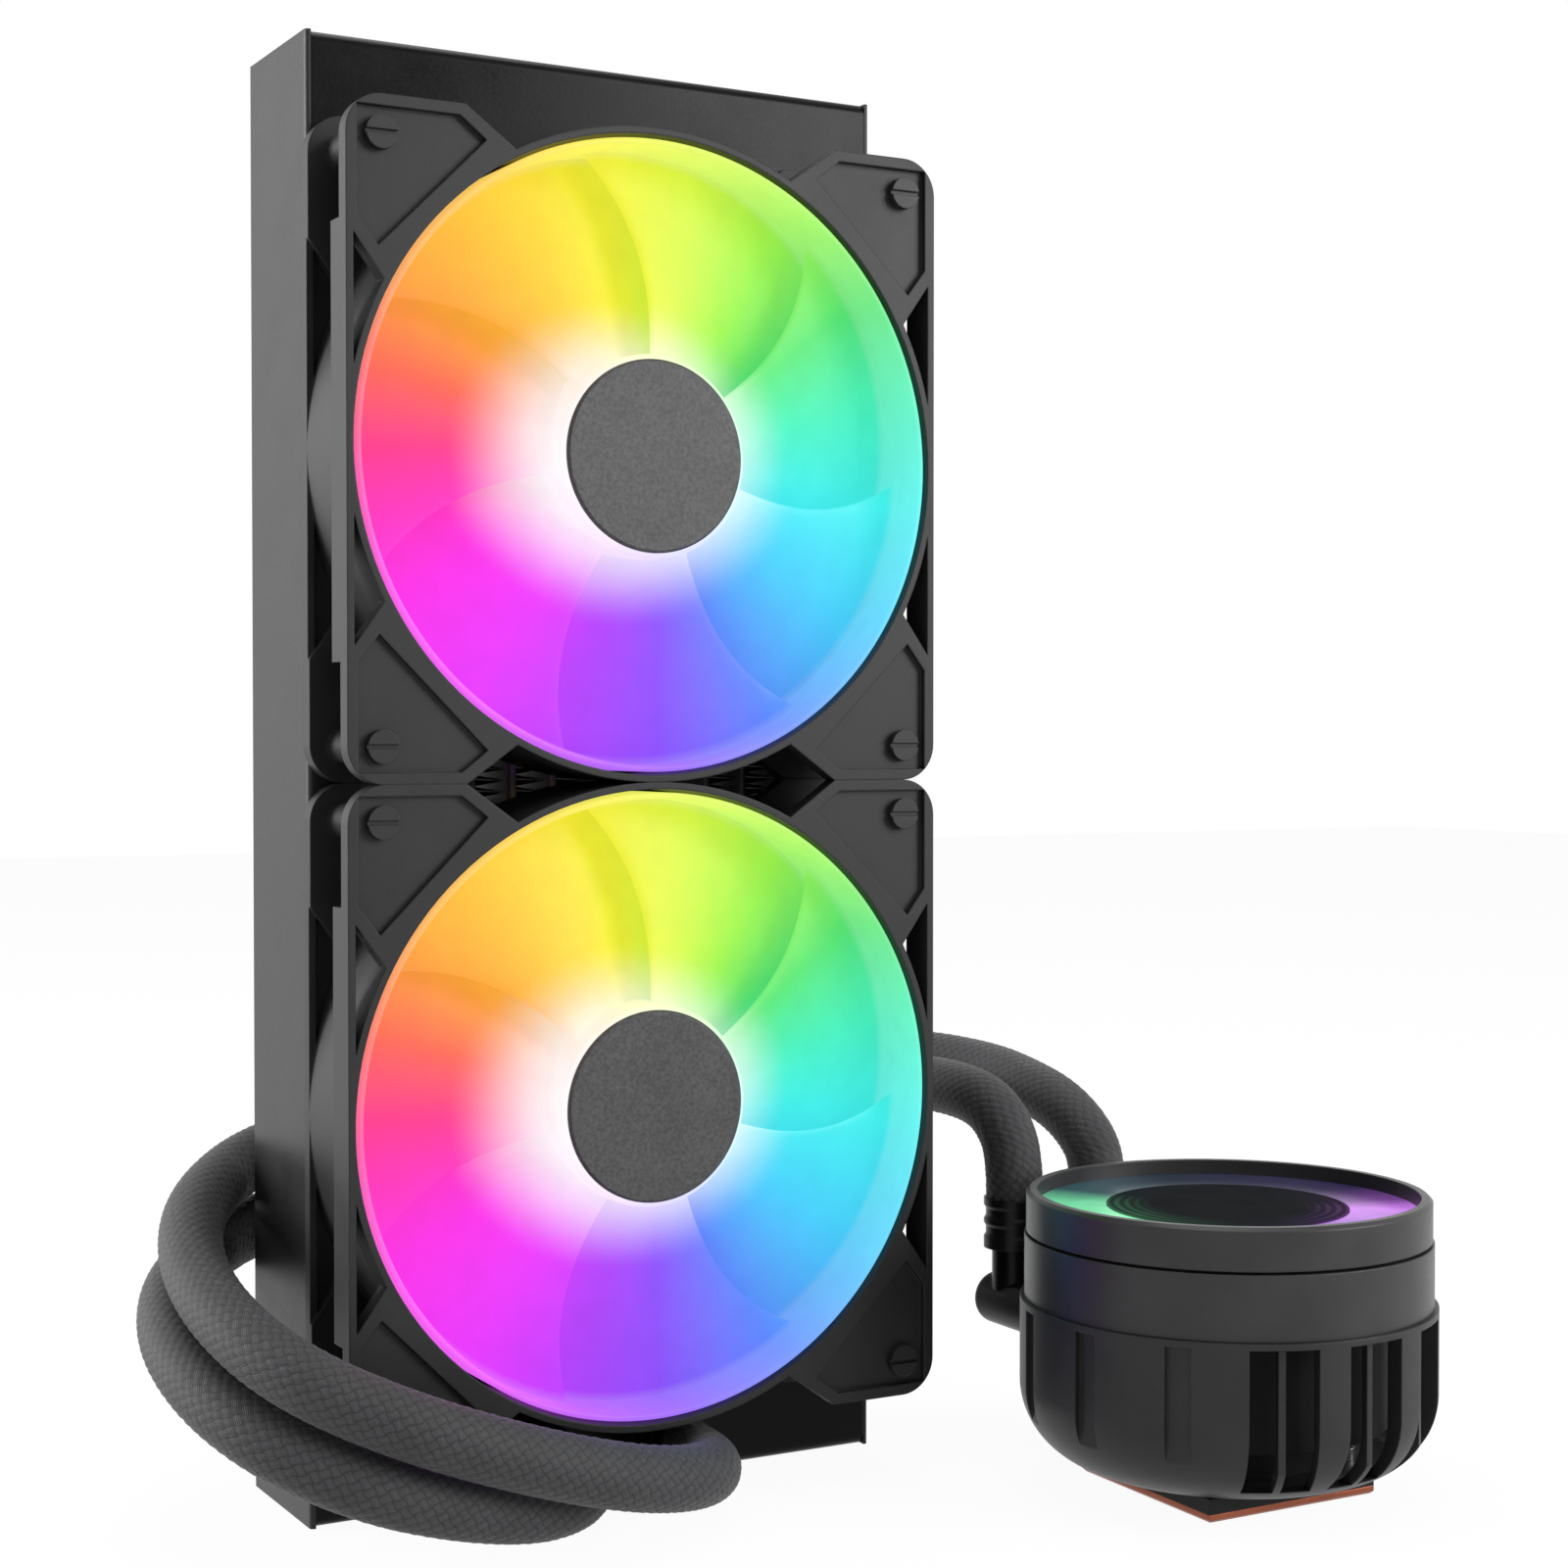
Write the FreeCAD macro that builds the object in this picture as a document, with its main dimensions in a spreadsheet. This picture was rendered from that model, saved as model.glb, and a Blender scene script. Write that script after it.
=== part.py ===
import FreeCAD, Part
import Sketcher
import math
import os
import re

# Liquid cooler for a processor: a radiator with two lit fans, two sleeved hoses and a pump block.
# Millimetres. +Z up, fans face -Y. The origin is the middle of the radiator's foot.

Vector = FreeCAD.Vector
UP = Vector(0, 0, 1)

SIZES = {
    # radiator
    "radiator_depth": 38.0,
    "plate_gauge": 1.2,
    "plate_bend": 1.0,
    "flange_land": 6.25,
    "flange_hole": 3.6,
    "screw_room": 0.35,
    "tank_below_hole": 4.25,
    "tank_wall": 1.6,
    "tank_round": 2.5,
    "header_gauge": 1.6,
    "core_depth": 25.5,
    "tube_count": 13,
    "tube_gauge": 2.0,
    "fin_gauge": 0.8,
    "fin_flat": 1.6,
    "fin_folds": 34,
    # fans, each modelled round its own axis with its back face at zero
    "fan_size": 140.0,
    "fan_overhang": 1.0,
    "fan_depth": 27.0,
    "fan_corner": 8.0,
    "hole_inset": 7.75,
    "fan_hole": 4.4,
    "duct_wall": 1.5,
    "ear_gauge": 4.0,
    "ear_reach": 26.0,
    "ear_slope": 14.0,
    "ear_drop": 10.0,
    "pocket_rim": 2.4,
    "pocket_depth": 1.5,
    "rail_width": 1.6,
    "front_rail_depth": 9.0,
    "back_rail_depth": 3.0,
    "post_wall": 1.6,
    "rib_gauge": 1.6,
    "mount_radius": 23.0,
    "mount_gauge": 3.0,
    "strut_width": 5.0,
    "strut_depth": 3.6,
    "strut_count": 4,
    "bearing_radius": 3.4,
    "bearing_height": 13.0,
    "bearing_wall": 1.2,
    "tip_clearance": 0.7,
    "tip_wall": 1.4,
    "tip_foot": 4.8,
    "tip_head": 26.3,
    "hub_radius": 22.0,
    "hub_wall": 1.5,
    "hub_foot": 5.2,
    "hub_head": 25.4,
    "hub_front_wall": 2.0,
    "hub_boss_radius": 4.0,
    "hub_boss_height": 6.0,
    "blade_count": 7,
    "blade_gauge": 1.5,
    "blade_span": 66.0,
    "blade_sweep": 17.0,
    "root_foot": 6.2,
    "root_head": 21.5,
    "blade_tip_foot": 5.2,
    "blade_tip_head": 15.0,
    "cap_disc_radius": 20.8,
    "cap_disc_gauge": 1.0,
    "shaft_radius": 1.5,
    "shaft_clearance": 0.04,
    "shaft_foot": 4.0,
    "yoke_wall": 1.0,
    "magnet_wall": 1.5,
    "magnet_foot": 7.0,
    "magnet_height": 13.0,
    "air_gap": 0.8,
    "board_gauge": 1.4,
    "stator_height": 9.0,
    "pole_width": 5.0,
    "screw_radius": 1.7,
    "screw_head_radius": 3.5,
    "screw_head_height": 2.0,
    "screw_reach": 2.0,
    # hoses and their fittings
    "hose_diameter": 13.6,
    "spigot_radius": 4.6,
    "spigot_wall": 1.2,
    "boss_radius": 7.8,
    "boss_height": 3.0,
    "ferrule_radius": 7.4,
    "ferrule_length": 12.0,
    "ferrule_groove": 0.5,
    "port_lift": 1.7,
    "port_play": 1.2,
    "port_one_x": 13.0,
    "port_two_x": -17.0,
    # pump block, modelled round its own axis with its foot at zero
    "pump_x": 123.0,
    "pump_forward": 86.0,
    "pump_height": 66.0,
    "cold_plate_gauge": 1.8,
    "cold_plate_chamfer": 0.6,
    "cold_fin_block": 24.0,
    "cold_fin_height": 3.0,
    "cold_fin_count": 12,
    "plate_screw_land": 3.87,
    "plate_screw_radius": 1.5,
    "plate_screw_head": 2.7,
    "plate_screw_sink": 1.0,
    "plate_screw_length": 9.0,
    "screw_play": 0.1,
    "housing_radius": 46.5,
    "housing_wall": 4.0,
    "housing_floor": 2.0,
    "housing_land": 5.5,
    "housing_top": 42.0,
    "slot_count": 7,
    "slot_pitch": 27.7,
    "slot_width": 15.0,
    "slot_start": 246.2,
    "slot_foot": 9.0,
    "slot_top": 40.6,
    "vane_gauge": 1.6,
    "vane_recess": 2.5,
    "flute_count": 4,
    "flute_start": 135.4,
    "flute_width": 5.5,
    "flute_depth": 1.6,
    "base_radius": 23.0,
    "base_flange": 3.4,
    "base_play": 0.2,
    "base_top": 16.0,
    "base_lip": 0.8,
    "base_cavity_top": 8.0,
    "seal_land": 1.6,
    "seal_width": 2.0,
    "seal_height": 1.4,
    "chamber_room": 6.5,
    "chamber_top": 38.0,
    "impeller_cavity": 15.0,
    "impeller_cavity_top": 22.0,
    "rotor_cavity": 8.6,
    "rotor_cavity_top": 34.0,
    "can_wall": 1.3,
    "coil_room": 3.0,
    "coil_floor": 23.4,
    "impeller_radius": 13.4,
    "impeller_foot": 17.0,
    "impeller_disc": 1.6,
    "impeller_head": 21.2,
    "impeller_vanes": 6,
    "impeller_magnet": 7.8,
    "impeller_magnet_top": 33.0,
    "coil_height": 11.0,
    "manifold_side": 1.7,
    "manifold_play": 2.0,
    "manifold_foot": 24.0,
    "elbow_height": 31.5,
    "elbow_reach": 12.5,
    "elbow_knuckle": 9.5,
    "elbow_radius": 6.3,
    "elbow_round": 2.6,
    "elbow_hole_play": 0.3,
    "elbow_one_x": 7.0,
    "elbow_two_x": -17.5,
    "stem_radius": 5.4,
    "stem_top": 45.0,
    "pump_board_radius": 24.0,
    "band_step": 1.0,
    "band_wall": 2.2,
    "band_top": 56.2,
    "deck_gauge": 1.6,
    "deck_bore": 2.6,
    "deck_holes": 8,
    "deck_hole_radius": 4.0,
    "seam_gap": 0.6,
    "neck_wall": 2.4,
    "neck_shoulder": 2.2,
    "neck_top": 59.0,
    "cap_step": 0.4,
    "cap_wall": 2.5,
    "cap_floor": 1.2,
    "cap_chamfer": 0.8,
    "light_width": 15.6,
    "light_board": 1.0,
    "light_gauge": 1.4,
    "mirror_gauge": 2.6,
    "light_play": 0.1,
    "vent_hub_radius": 13.5,
    "vent_hub_wall": 1.5,
    "vent_hub_foot": 45.6,
    "vent_hub_top": 56.0,
    "vent_hub_roof": 2.0,
    "vent_blade_count": 11,
    "vent_blade_gauge": 1.2,
    "vent_play": 4.2,
    "vent_blade_foot": 47.0,
    "vent_blade_top": 55.0,
    "vent_blade_lean": 35.0,
    "vent_stator_radius": 10.4,
    "vent_stator_top": 51.0,
    "vent_shaft_foot": 45.0,
}

# Sizes that follow from others: pieces that meet keep their fit when one of them changes.
DERIVED = {
    "radiator_width": "fan_size - 2 * fan_overhang",
    "hole_pitch": "fan_size - 2 * hole_inset",
    "flange_edge": "hole_pitch / 2 - flange_land",
    "port_height": "boss_radius + port_lift",
    "fan_margin": "port_height + boss_radius + port_play",
    "radiator_height": "2 * fan_size + 2 * fan_margin",
    "tank_height": "fan_margin + hole_inset - tank_below_hole",
    "housing_bore": "housing_radius - housing_wall",
    "housing_round": "housing_radius - base_radius - housing_land",
    "housing_round_inside": "housing_bore - base_radius - housing_land",
    "chamber_radius": "housing_bore - chamber_room",
    "coil_cavity": "chamber_radius / 2 + coil_room",
    "cold_plate_size": "2 * base_radius",
    "plate_screw_pitch": "(base_radius + plate_screw_land) * sqrt(2)",
    "seal_outside": "base_radius - seal_land",
    "seal_inside": "seal_outside - seal_width",
    "base_cavity": "seal_inside - base_lip",
    "band_radius": "housing_radius - band_step",
    "cap_radius": "band_radius - cap_step",
    "neck_outside": "cap_radius - cap_wall",
    "light_inside": "neck_outside - light_width",
    "elbow_back": "housing_radius + elbow_reach",
    "manifold_left": "elbow_radius - elbow_two_x + manifold_side",
    "manifold_right": "elbow_radius + elbow_one_x + manifold_side",
    "manifold_back": "sqrt(housing_bore ^ 2 - manifold_left ^ 2) - manifold_play",
    "vent_blade_reach": "neck_outside - neck_wall - vent_play",
}

# Each hose's route, from the radiator's port round its left side to the pump block.
ROUTE_ONE = [
    (13, -34, 9.5), (13, -43.5, 9.5), (8.5, -54.5, 10.4), (-3, -63.5, 12.6), (-19, -69, 16.5),
    (-41, -70, 23.5), (-65, -66, 32.5), (-85, -53, 42), (-94, -31, 51), (-94, -7, 59.8),
    (-83.5, 16.5, 67.3), (-61, 38, 73.2), (-22, 50, 77), (25, 54, 80), (68, 59, 82.5),
    (102, 60, 84), (123.5, 45, 84.8), (130.5, 22, 84.5), (130.7, 5, 83.6), (130.2, -11.8, 81.2),
    (130, -21.6, 76), (130, -27, 67.5), (130, -27, 57),
]
ROUTE_TWO = [
    (-17, -34, 9.5), (-17, -43.5, 9.5), (-22, -53, 9.2), (-33.5, -58.5, 9.2), (-51, -61.5, 12),
    (-71, -60.5, 18), (-88.5, -50.5, 27), (-98.2, -31.5, 36), (-98, -8, 44.5), (-87.5, 15, 51.2),
    (-65, 34, 56.7), (-24, 41, 62), (22, 43, 68), (62, 44, 73), (89, 39, 77),
    (103.5, 22, 79.8), (105.5, 3, 80.4), (105.5, -12.8, 79.2), (105.5, -21.8, 74.8),
    (105.5, -27, 66.8), (105.5, -27, 57),
]
ARC_SHARE = 0.45

doc = FreeCAD.newDocument("liquid_cooler")
sheet = doc.addObject("Spreadsheet::Sheet", "sizes")
for row, (alias, value) in enumerate(SIZES.items(), start=1):
    sheet.set(f"A{row}", alias)
    sheet.set(f"B{row}", str(value))
    sheet.setAlias(f"B{row}", alias)
doc.recompute()

nodes = []


def bound(text):
    """The expression with each derived size written out and each alias pointed at the sheet."""
    def written(found):
        word = found.group()
        if word in DERIVED:
            return f"({bound(DERIVED[word])})"
        return "sizes." + word if word in SIZES else word
    return re.sub(r"[a-z_]+", written, str(text))


def mm(text):
    """The number that an expression gives now."""
    result = sheet.evalExpression(bound(text))
    return float(getattr(result, "Value", result))


def node(item, label):
    """Marks a finished sub-part; its label names its file."""
    item.Label = label
    nodes.append(item)
    return item


def place(item, x="0", y="0", z="0", turn=None):
    """Moves an item to bound coordinates; turn is (axis, degrees)."""
    if turn:
        item.Placement = FreeCAD.Placement(Vector(), FreeCAD.Rotation(*turn))
    for letter, text in zip("xyz", (x, y, z)):
        item.setExpression(f"Placement.Base.{letter}", bound(text))
    return item


# Part primitives and booleans

def box(name, x, y, z):
    """A box between bound limits; each of x, y and z is (low, high)."""
    item = doc.addObject("Part::Box", name)
    for side, (low, high) in zip(("Length", "Width", "Height"), (x, y, z)):
        item.setExpression(side, bound(f"({high}) - ({low})"))
    return place(item, x[0], y[0], z[0])


def rod(name, radius, x, y, z, length, turn=None):
    """A cylinder from a bound point; it runs along +Z unless it is turned."""
    item = doc.addObject("Part::Cylinder", name)
    item.setExpression("Radius", bound(radius))
    item.setExpression("Height", bound(length))
    return place(item, x, y, z, turn)


FORWARD = (Vector(1, 0, 0), 90)
BACKWARD = (Vector(1, 0, 0), -90)


def fuse(name, parts):
    item = doc.addObject("Part::MultiFuse", name)
    item.Shapes = parts
    return item


def cut(name, base, tools):
    item = doc.addObject("Part::Cut", name)
    item.Base = base
    item.Tool = tools[0] if len(tools) == 1 else fuse(name + "_tools", tools)
    return item


def group(name, parts):
    item = doc.addObject("Part::Compound", name)
    item.Links = parts
    return item


def custom(name, shape):
    item = doc.addObject("Part::Feature", name)
    item.Shape = shape
    return item


def rounded(name, base, edges, radius):
    """A Part fillet of the named edges with a bound radius read from the sheet."""
    item = doc.addObject("Part::Fillet", name)
    item.Base = base
    item.Edges = [(number, mm(radius), mm(radius)) for number in edges]
    return item


def edge_numbers(item, wanted):
    """Numbers of the edges that a test accepts."""
    doc.recompute()
    return [number for number, edge in enumerate(item.Shape.Edges, start=1) if wanted(edge)]


def upright_at(x, y):
    """Test for straight upright edges at a place, given as expressions."""
    def wanted(edge):
        ends = edge.BoundBox
        thin = ends.XLength < 1e-6 and ends.YLength < 1e-6 and ends.ZLength > 1e-3
        return thin and abs(ends.XMin - mm(x)) < 1e-3 and abs(ends.YMin - mm(y)) < 1e-3
    return wanted


def along_x_at(y, z):
    def wanted(edge):
        ends = edge.BoundBox
        thin = ends.YLength < 1e-6 and ends.ZLength < 1e-6 and ends.XLength > 1e-3
        return thin and abs(ends.YMin - mm(y)) < 1e-3 and abs(ends.ZMin - mm(z)) < 1e-3
    return wanted


def ring_at(radius, z):
    """Test for round edges of a radius at a height."""
    def wanted(edge):
        if not isinstance(edge.Curve, Part.Circle):
            return False
        level = abs(edge.BoundBox.ZMin - mm(z)) < 1e-3 and abs(edge.BoundBox.ZMax - mm(z)) < 1e-3
        return level and abs(edge.Curve.Radius - mm(radius)) < 1e-3
    return wanted


# Part Design bodies

def new_body(name):
    return doc.addObject("PartDesign::Body", name)


def origin_feature(body, role):
    return next(item for item in body.Origin.OriginFeatures if item.Role == role)


def sketch_on(body, name, role="XY_Plane", height="0"):
    sketch = body.newObject("Sketcher::SketchObject", name)
    sketch.AttachmentSupport = [(origin_feature(body, role), "")]
    sketch.MapMode = "FlatFace"
    sketch.setExpression("AttachmentOffset.Base.z", bound(height))
    return sketch


def polygon(sketch, corners):
    """A closed straight-sided outline; every corner is held by a bound x and y."""
    points = [Vector(mm(x), mm(y), 0) for x, y in corners]
    first = sketch.GeometryCount
    count = len(points)
    for i, start in enumerate(points):
        sketch.addGeometry(Part.LineSegment(start, points[(i + 1) % count]), False)
    for i in range(count):
        sketch.addConstraint(Sketcher.Constraint("Coincident", first + i, 2, first + (i + 1) % count, 1))
    for i, (x, y) in enumerate(corners):
        hold(sketch, "DistanceX", first + i, 1, x, points[i].x)
        hold(sketch, "DistanceY", first + i, 1, y, points[i].y)


def hold(sketch, kind, geometry, point, text, value):
    """Holds one coordinate of a sketch point: on the axis where it is zero, else by a bound distance."""
    if abs(value) < 1e-9:
        axis = -2 if kind == "DistanceX" else -1
        sketch.addConstraint(Sketcher.Constraint("PointOnObject", geometry, point, axis))
        return
    number = sketch.addConstraint(Sketcher.Constraint(kind, -1, 1, geometry, point, value))
    sketch.setExpression(f"Constraints[{number}]", bound(text))


def circle(sketch, radius, x="0", y="0"):
    centre = Vector(mm(x), mm(y), 0)
    number = sketch.addGeometry(Part.Circle(centre, UP, mm(radius)), False)
    hold(sketch, "DistanceX", number, 3, x, centre.x)
    hold(sketch, "DistanceY", number, 3, y, centre.y)
    last = sketch.addConstraint(Sketcher.Constraint("Radius", number, mm(radius)))
    sketch.setExpression(f"Constraints[{last}]", bound(radius))


def pad(body, sketch, length):
    feature = body.newObject("PartDesign::Pad", sketch.Name + "_pad")
    feature.Profile = sketch
    feature.setExpression("Length", bound(length))
    sketch.Visibility = False
    doc.recompute()
    return feature


def pocket(body, sketch, length, up=False):
    """Cuts a sketch down from its plane, or up from it; the volume must fall."""
    before = body.Tip.Shape.Volume
    feature = body.newObject("PartDesign::Pocket", sketch.Name + "_cut")
    feature.Profile = sketch
    feature.setExpression("Length", bound(length))
    feature.Reversed = up
    doc.recompute()
    if not feature.Shape.Volume < before - 1e-3:
        raise RuntimeError(f"{feature.Name} cuts nothing")
    return feature


def polar(body, features, count, pitch=None):
    """Repeats features about the body's Z axis, all the way round or at a bound pitch."""
    feature = body.newObject("PartDesign::PolarPattern", features[0].Name + "_ring")
    feature.Originals = features
    feature.Axis = (origin_feature(body, "Z_Axis"), [""])
    if pitch:
        feature.setExpression("Angle", bound(f"({pitch}) * ({count} - 1)"))
    else:
        feature.Angle = 360
    feature.setExpression("Occurrences", bound(count))
    body.Tip = feature
    doc.recompute()
    return feature


def revolve(body, name, corners):
    """Turns an outline of (radius, height) corners about the Z axis."""
    sketch = sketch_on(body, name, "XZ_Plane")
    polygon(sketch, corners)
    feature = body.newObject("PartDesign::Revolution", name + "_turned")
    feature.Profile = sketch
    feature.ReferenceAxis = (origin_feature(body, "Z_Axis"), [""])
    feature.Angle = 360
    doc.recompute()
    return feature


def turned(name, corners):
    """A body that is one turned outline."""
    body = new_body(name)
    revolve(body, name + "_outline", corners)
    return body


def disc(name, radius, foot, head):
    return turned(name, [("0", foot), (radius, foot), (radius, head), ("0", head)])


def tube_piece(name, inner, outer, foot, head):
    return turned(name, [(inner, foot), (outer, foot), (outer, head), (inner, head)])


def fillet(body, wanted, radius, kind="Fillet", size="Radius"):
    doc.recompute()
    base = body.Tip
    names = [f"Edge{number}" for number in edge_numbers(base, wanted)]
    if not names:
        raise RuntimeError(f"{body.Name} has no edge to round")
    feature = body.newObject(f"PartDesign::{kind}", f"{body.Name}_{kind.lower()}_{len(body.Group)}")
    feature.Base = (base, names)
    feature.setExpression(size, bound(radius))
    doc.recompute()
    return feature


# Radiator

HALF_WIDTH = "radiator_width / 2"
HALF_DEPTH = "radiator_depth / 2"
INSIDE = "(radiator_width / 2 - plate_gauge)"
FAN_CENTRES = {"lower": "radiator_height / 2 - fan_size / 2", "upper": "radiator_height / 2 + fan_size / 2"}


def side_plate(label, side):
    """A folded channel: a web over the whole height and two flanges with screw holes between the tanks."""
    outer = f"{side} * {HALF_WIDTH}"
    inner = f"{side} * {INSIDE}"
    lip = f"{side} * flange_edge"
    low, high = (outer, inner) if side < 0 else (inner, outer)
    lip_low, lip_high = (outer, lip) if side < 0 else (lip, outer)
    between = ("tank_height", "radiator_height - tank_height")
    web = box(label + "_web", (low, high), (f"-{HALF_DEPTH}", HALF_DEPTH), ("0", "radiator_height"))
    front = box(label + "_front", (lip_low, lip_high),
                (f"-{HALF_DEPTH}", f"-{HALF_DEPTH} + plate_gauge"), between)
    back = box(label + "_back", (lip_low, lip_high), (f"{HALF_DEPTH} - plate_gauge", HALF_DEPTH), between)
    folded = fuse(label + "_folded", [web, front, back])
    corners = []
    for y in (f"-{HALF_DEPTH}", HALF_DEPTH):
        corners += edge_numbers(folded, upright_at(outer, y))
    bent = rounded(label + "_bent", folded, corners, "plate_bend")
    holes = []
    for fan, centre in FAN_CENTRES.items():
        for end in (-1, 1):
            x = f"{side} * hole_pitch / 2"
            z = f"{centre} + {end} * hole_pitch / 2"
            name = f"{label}_hole_{fan}_{end + 1}"
            holes.append(rod(name + "_back", "flange_hole / 2", x, f"{HALF_DEPTH} + 1", z,
                             f"{HALF_DEPTH} + 1", FORWARD))
            holes.append(rod(name + "_front", "screw_radius + screw_room", x, "0", z,
                             f"{HALF_DEPTH} + 1", FORWARD))
    return node(cut(label, bent, holes), label)


def tank(label, foot, open_top):
    """A pressed tank, open towards the core."""
    shell = box(label + "_block", (f"-{INSIDE}", INSIDE), (f"-{HALF_DEPTH}", HALF_DEPTH),
                (foot, f"{foot} + tank_height"))
    closed = foot if open_top else f"{foot} + tank_height"
    edges = []
    for y in (f"-{HALF_DEPTH}", HALF_DEPTH):
        edges += edge_numbers(shell, along_x_at(y, closed))
    pressed = rounded(label + "_pressed", shell, edges, "tank_round")
    low = f"{foot} + tank_wall" if open_top else f"{foot} - 1"
    high = f"{foot} + tank_height + 1" if open_top else f"{foot} + tank_height - tank_wall"
    hollow = box(label + "_hollow", (f"-{INSIDE} + tank_wall", f"{INSIDE} - tank_wall"),
                 (f"-{HALF_DEPTH} + tank_wall", f"{HALF_DEPTH} - tank_wall"), (low, high))
    return pressed, hollow


def radiator():
    pressed, hollow = tank("upper_tank", "radiator_height - tank_height", False)
    node(cut("upper_tank", pressed, [hollow]), "upper_tank")
    pressed, hollow = tank("lower_tank", "0", True)
    ports = [rod(f"lower_tank_port_{i}", "spigot_radius", x, f"-{HALF_DEPTH} - 1", "port_height",
                 "tank_wall + 2", BACKWARD) for i, x in enumerate(("port_one_x", "port_two_x"))]
    node(cut("lower_tank", pressed, [hollow] + ports), "lower_tank")
    side_plate("side_plate_left", -1)
    side_plate("side_plate_right", 1)
    across = ((f"-{INSIDE}", INSIDE), (f"-{HALF_DEPTH} + plate_gauge", f"{HALF_DEPTH} - plate_gauge"))
    top = "radiator_height - tank_height"
    node(box("upper_header", *across, (f"{top} - header_gauge", top)), "upper_header")
    node(box("lower_header", *across, ("tank_height", "tank_height + header_gauge")), "lower_header")
    node(custom("coolant_tubes", coolant_tubes()), "coolant_tubes")
    node(custom("fin_strips", fin_strips()), "fin_strips")


def core_limits():
    """Foot and head of the core between the headers, and the pitch of its tubes."""
    foot = mm("tank_height + header_gauge")
    head = mm("radiator_height - tank_height - header_gauge")
    pitch = mm(f"2 * {INSIDE} / (tube_count + 1)")
    return foot, head, pitch


def coolant_tubes():
    """Flat tubes with round edges, side by side across the core."""
    foot, head, pitch = core_limits()
    half = mm("tube_gauge / 2")
    flat = mm("core_depth / 2") - half
    tubes = []
    for i in range(int(mm("tube_count"))):
        x = -mm(INSIDE) + (i + 1) * pitch
        corners = [Vector(x + a * half, b * flat, foot) for a, b in ((-1, -1), (-1, 1), (1, 1), (1, -1))]
        back = Vector(x, flat + half, foot)
        front = Vector(x, -flat - half, foot)
        outline = Part.Wire([
            Part.LineSegment(corners[0], corners[1]).toShape(),
            Part.Arc(corners[1], back, corners[2]).toShape(),
            Part.LineSegment(corners[2], corners[3]).toShape(),
            Part.Arc(corners[3], front, corners[0]).toShape(),
        ])
        tubes.append(Part.Face(outline).extrude(Vector(0, 0, head - foot)))
    return Part.makeCompound(tubes)


def fin_strips():
    """One folded strip in each gap between the tubes; its folds lie flat on the tubes on both sides."""
    foot, head, pitch = core_limits()
    folds = int(mm("fin_folds"))
    flat = Vector(0, 0, mm("fin_flat"))
    gauge = Vector(mm("fin_gauge"), 0, 0)
    depth = mm("core_depth") - mm("tube_gauge")
    rise = (head - foot - flat.z) / folds
    half_tube = mm("tube_gauge / 2")
    last = int(mm("tube_count"))
    strips = []
    for i in range(last + 1):
        left = -mm(INSIDE) + i * pitch + (half_tube if i > 0 else 0.0)
        right = -mm(INSIDE) + (i + 1) * pitch - (half_tube if i < last else 0.0) - gauge.x
        rising = []
        for k in range(folds + 1):
            turn = Vector(right if k % 2 else left, -depth / 2, foot + k * rise)
            rising += [turn, turn + flat]
        falling = [point + gauge for point in reversed(rising)]
        outline = Part.makePolygon(rising + falling + rising[:1])
        strips.append(Part.Face(outline).extrude(Vector(0, depth, 0)))
    return Part.makeCompound(strips)


# Fans

HALF_FAN = "fan_size / 2"
DUCT_BORE = "(fan_size / 2 - duct_wall)"
TIP_RADIUS = "(fan_size / 2 - duct_wall - tip_clearance)"
HUB_BORE = "(hub_radius - hub_wall)"


def corner_sketch(body, name, height, inset):
    """The outline of one corner ear: square outside, sloping down to the duct on both sides."""
    sketch = sketch_on(body, name, height=height)
    if not inset:
        polygon(sketch, [
            (f"-{HALF_FAN}", HALF_FAN),
            (f"-{HALF_FAN} + ear_reach", HALF_FAN),
            (f"-{HALF_FAN} + ear_reach + ear_slope", f"{HALF_FAN} - ear_drop"),
            (f"-{HALF_FAN} + ear_drop", f"{HALF_FAN} - ear_reach - ear_slope"),
            (f"-{HALF_FAN}", f"{HALF_FAN} - ear_reach"),
        ])
        return sketch
    edge = f"({HALF_FAN} - pocket_rim)"
    reach = f"({HALF_FAN} - ear_reach + pocket_rim / 2)"
    near = f"({HALF_FAN} - ear_reach - ear_slope / 3)"
    far = f"(({HALF_FAN} + pocket_rim) * sqrt(2) - {near})"
    polygon(sketch, [
        (f"-{edge}", edge), (f"-{reach}", edge), (f"-{near}", far),
        (f"-{far}", near), (f"-{edge}", reach),
    ])
    return sketch


def ray_corners(angle, inner, outer, low, high):
    """Corners of a straight strip along a ray from the axis, from one sideways offset to another."""
    x, y = f"cos({angle})", f"sin({angle})"
    corners = []
    for radius, aside in ((inner, low), (outer, low), (outer, high), (inner, high)):
        corners.append((f"({radius}) * {x} - ({aside}) * {y}", f"({radius}) * {y} + ({aside}) * {x}"))
    return corners


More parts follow.
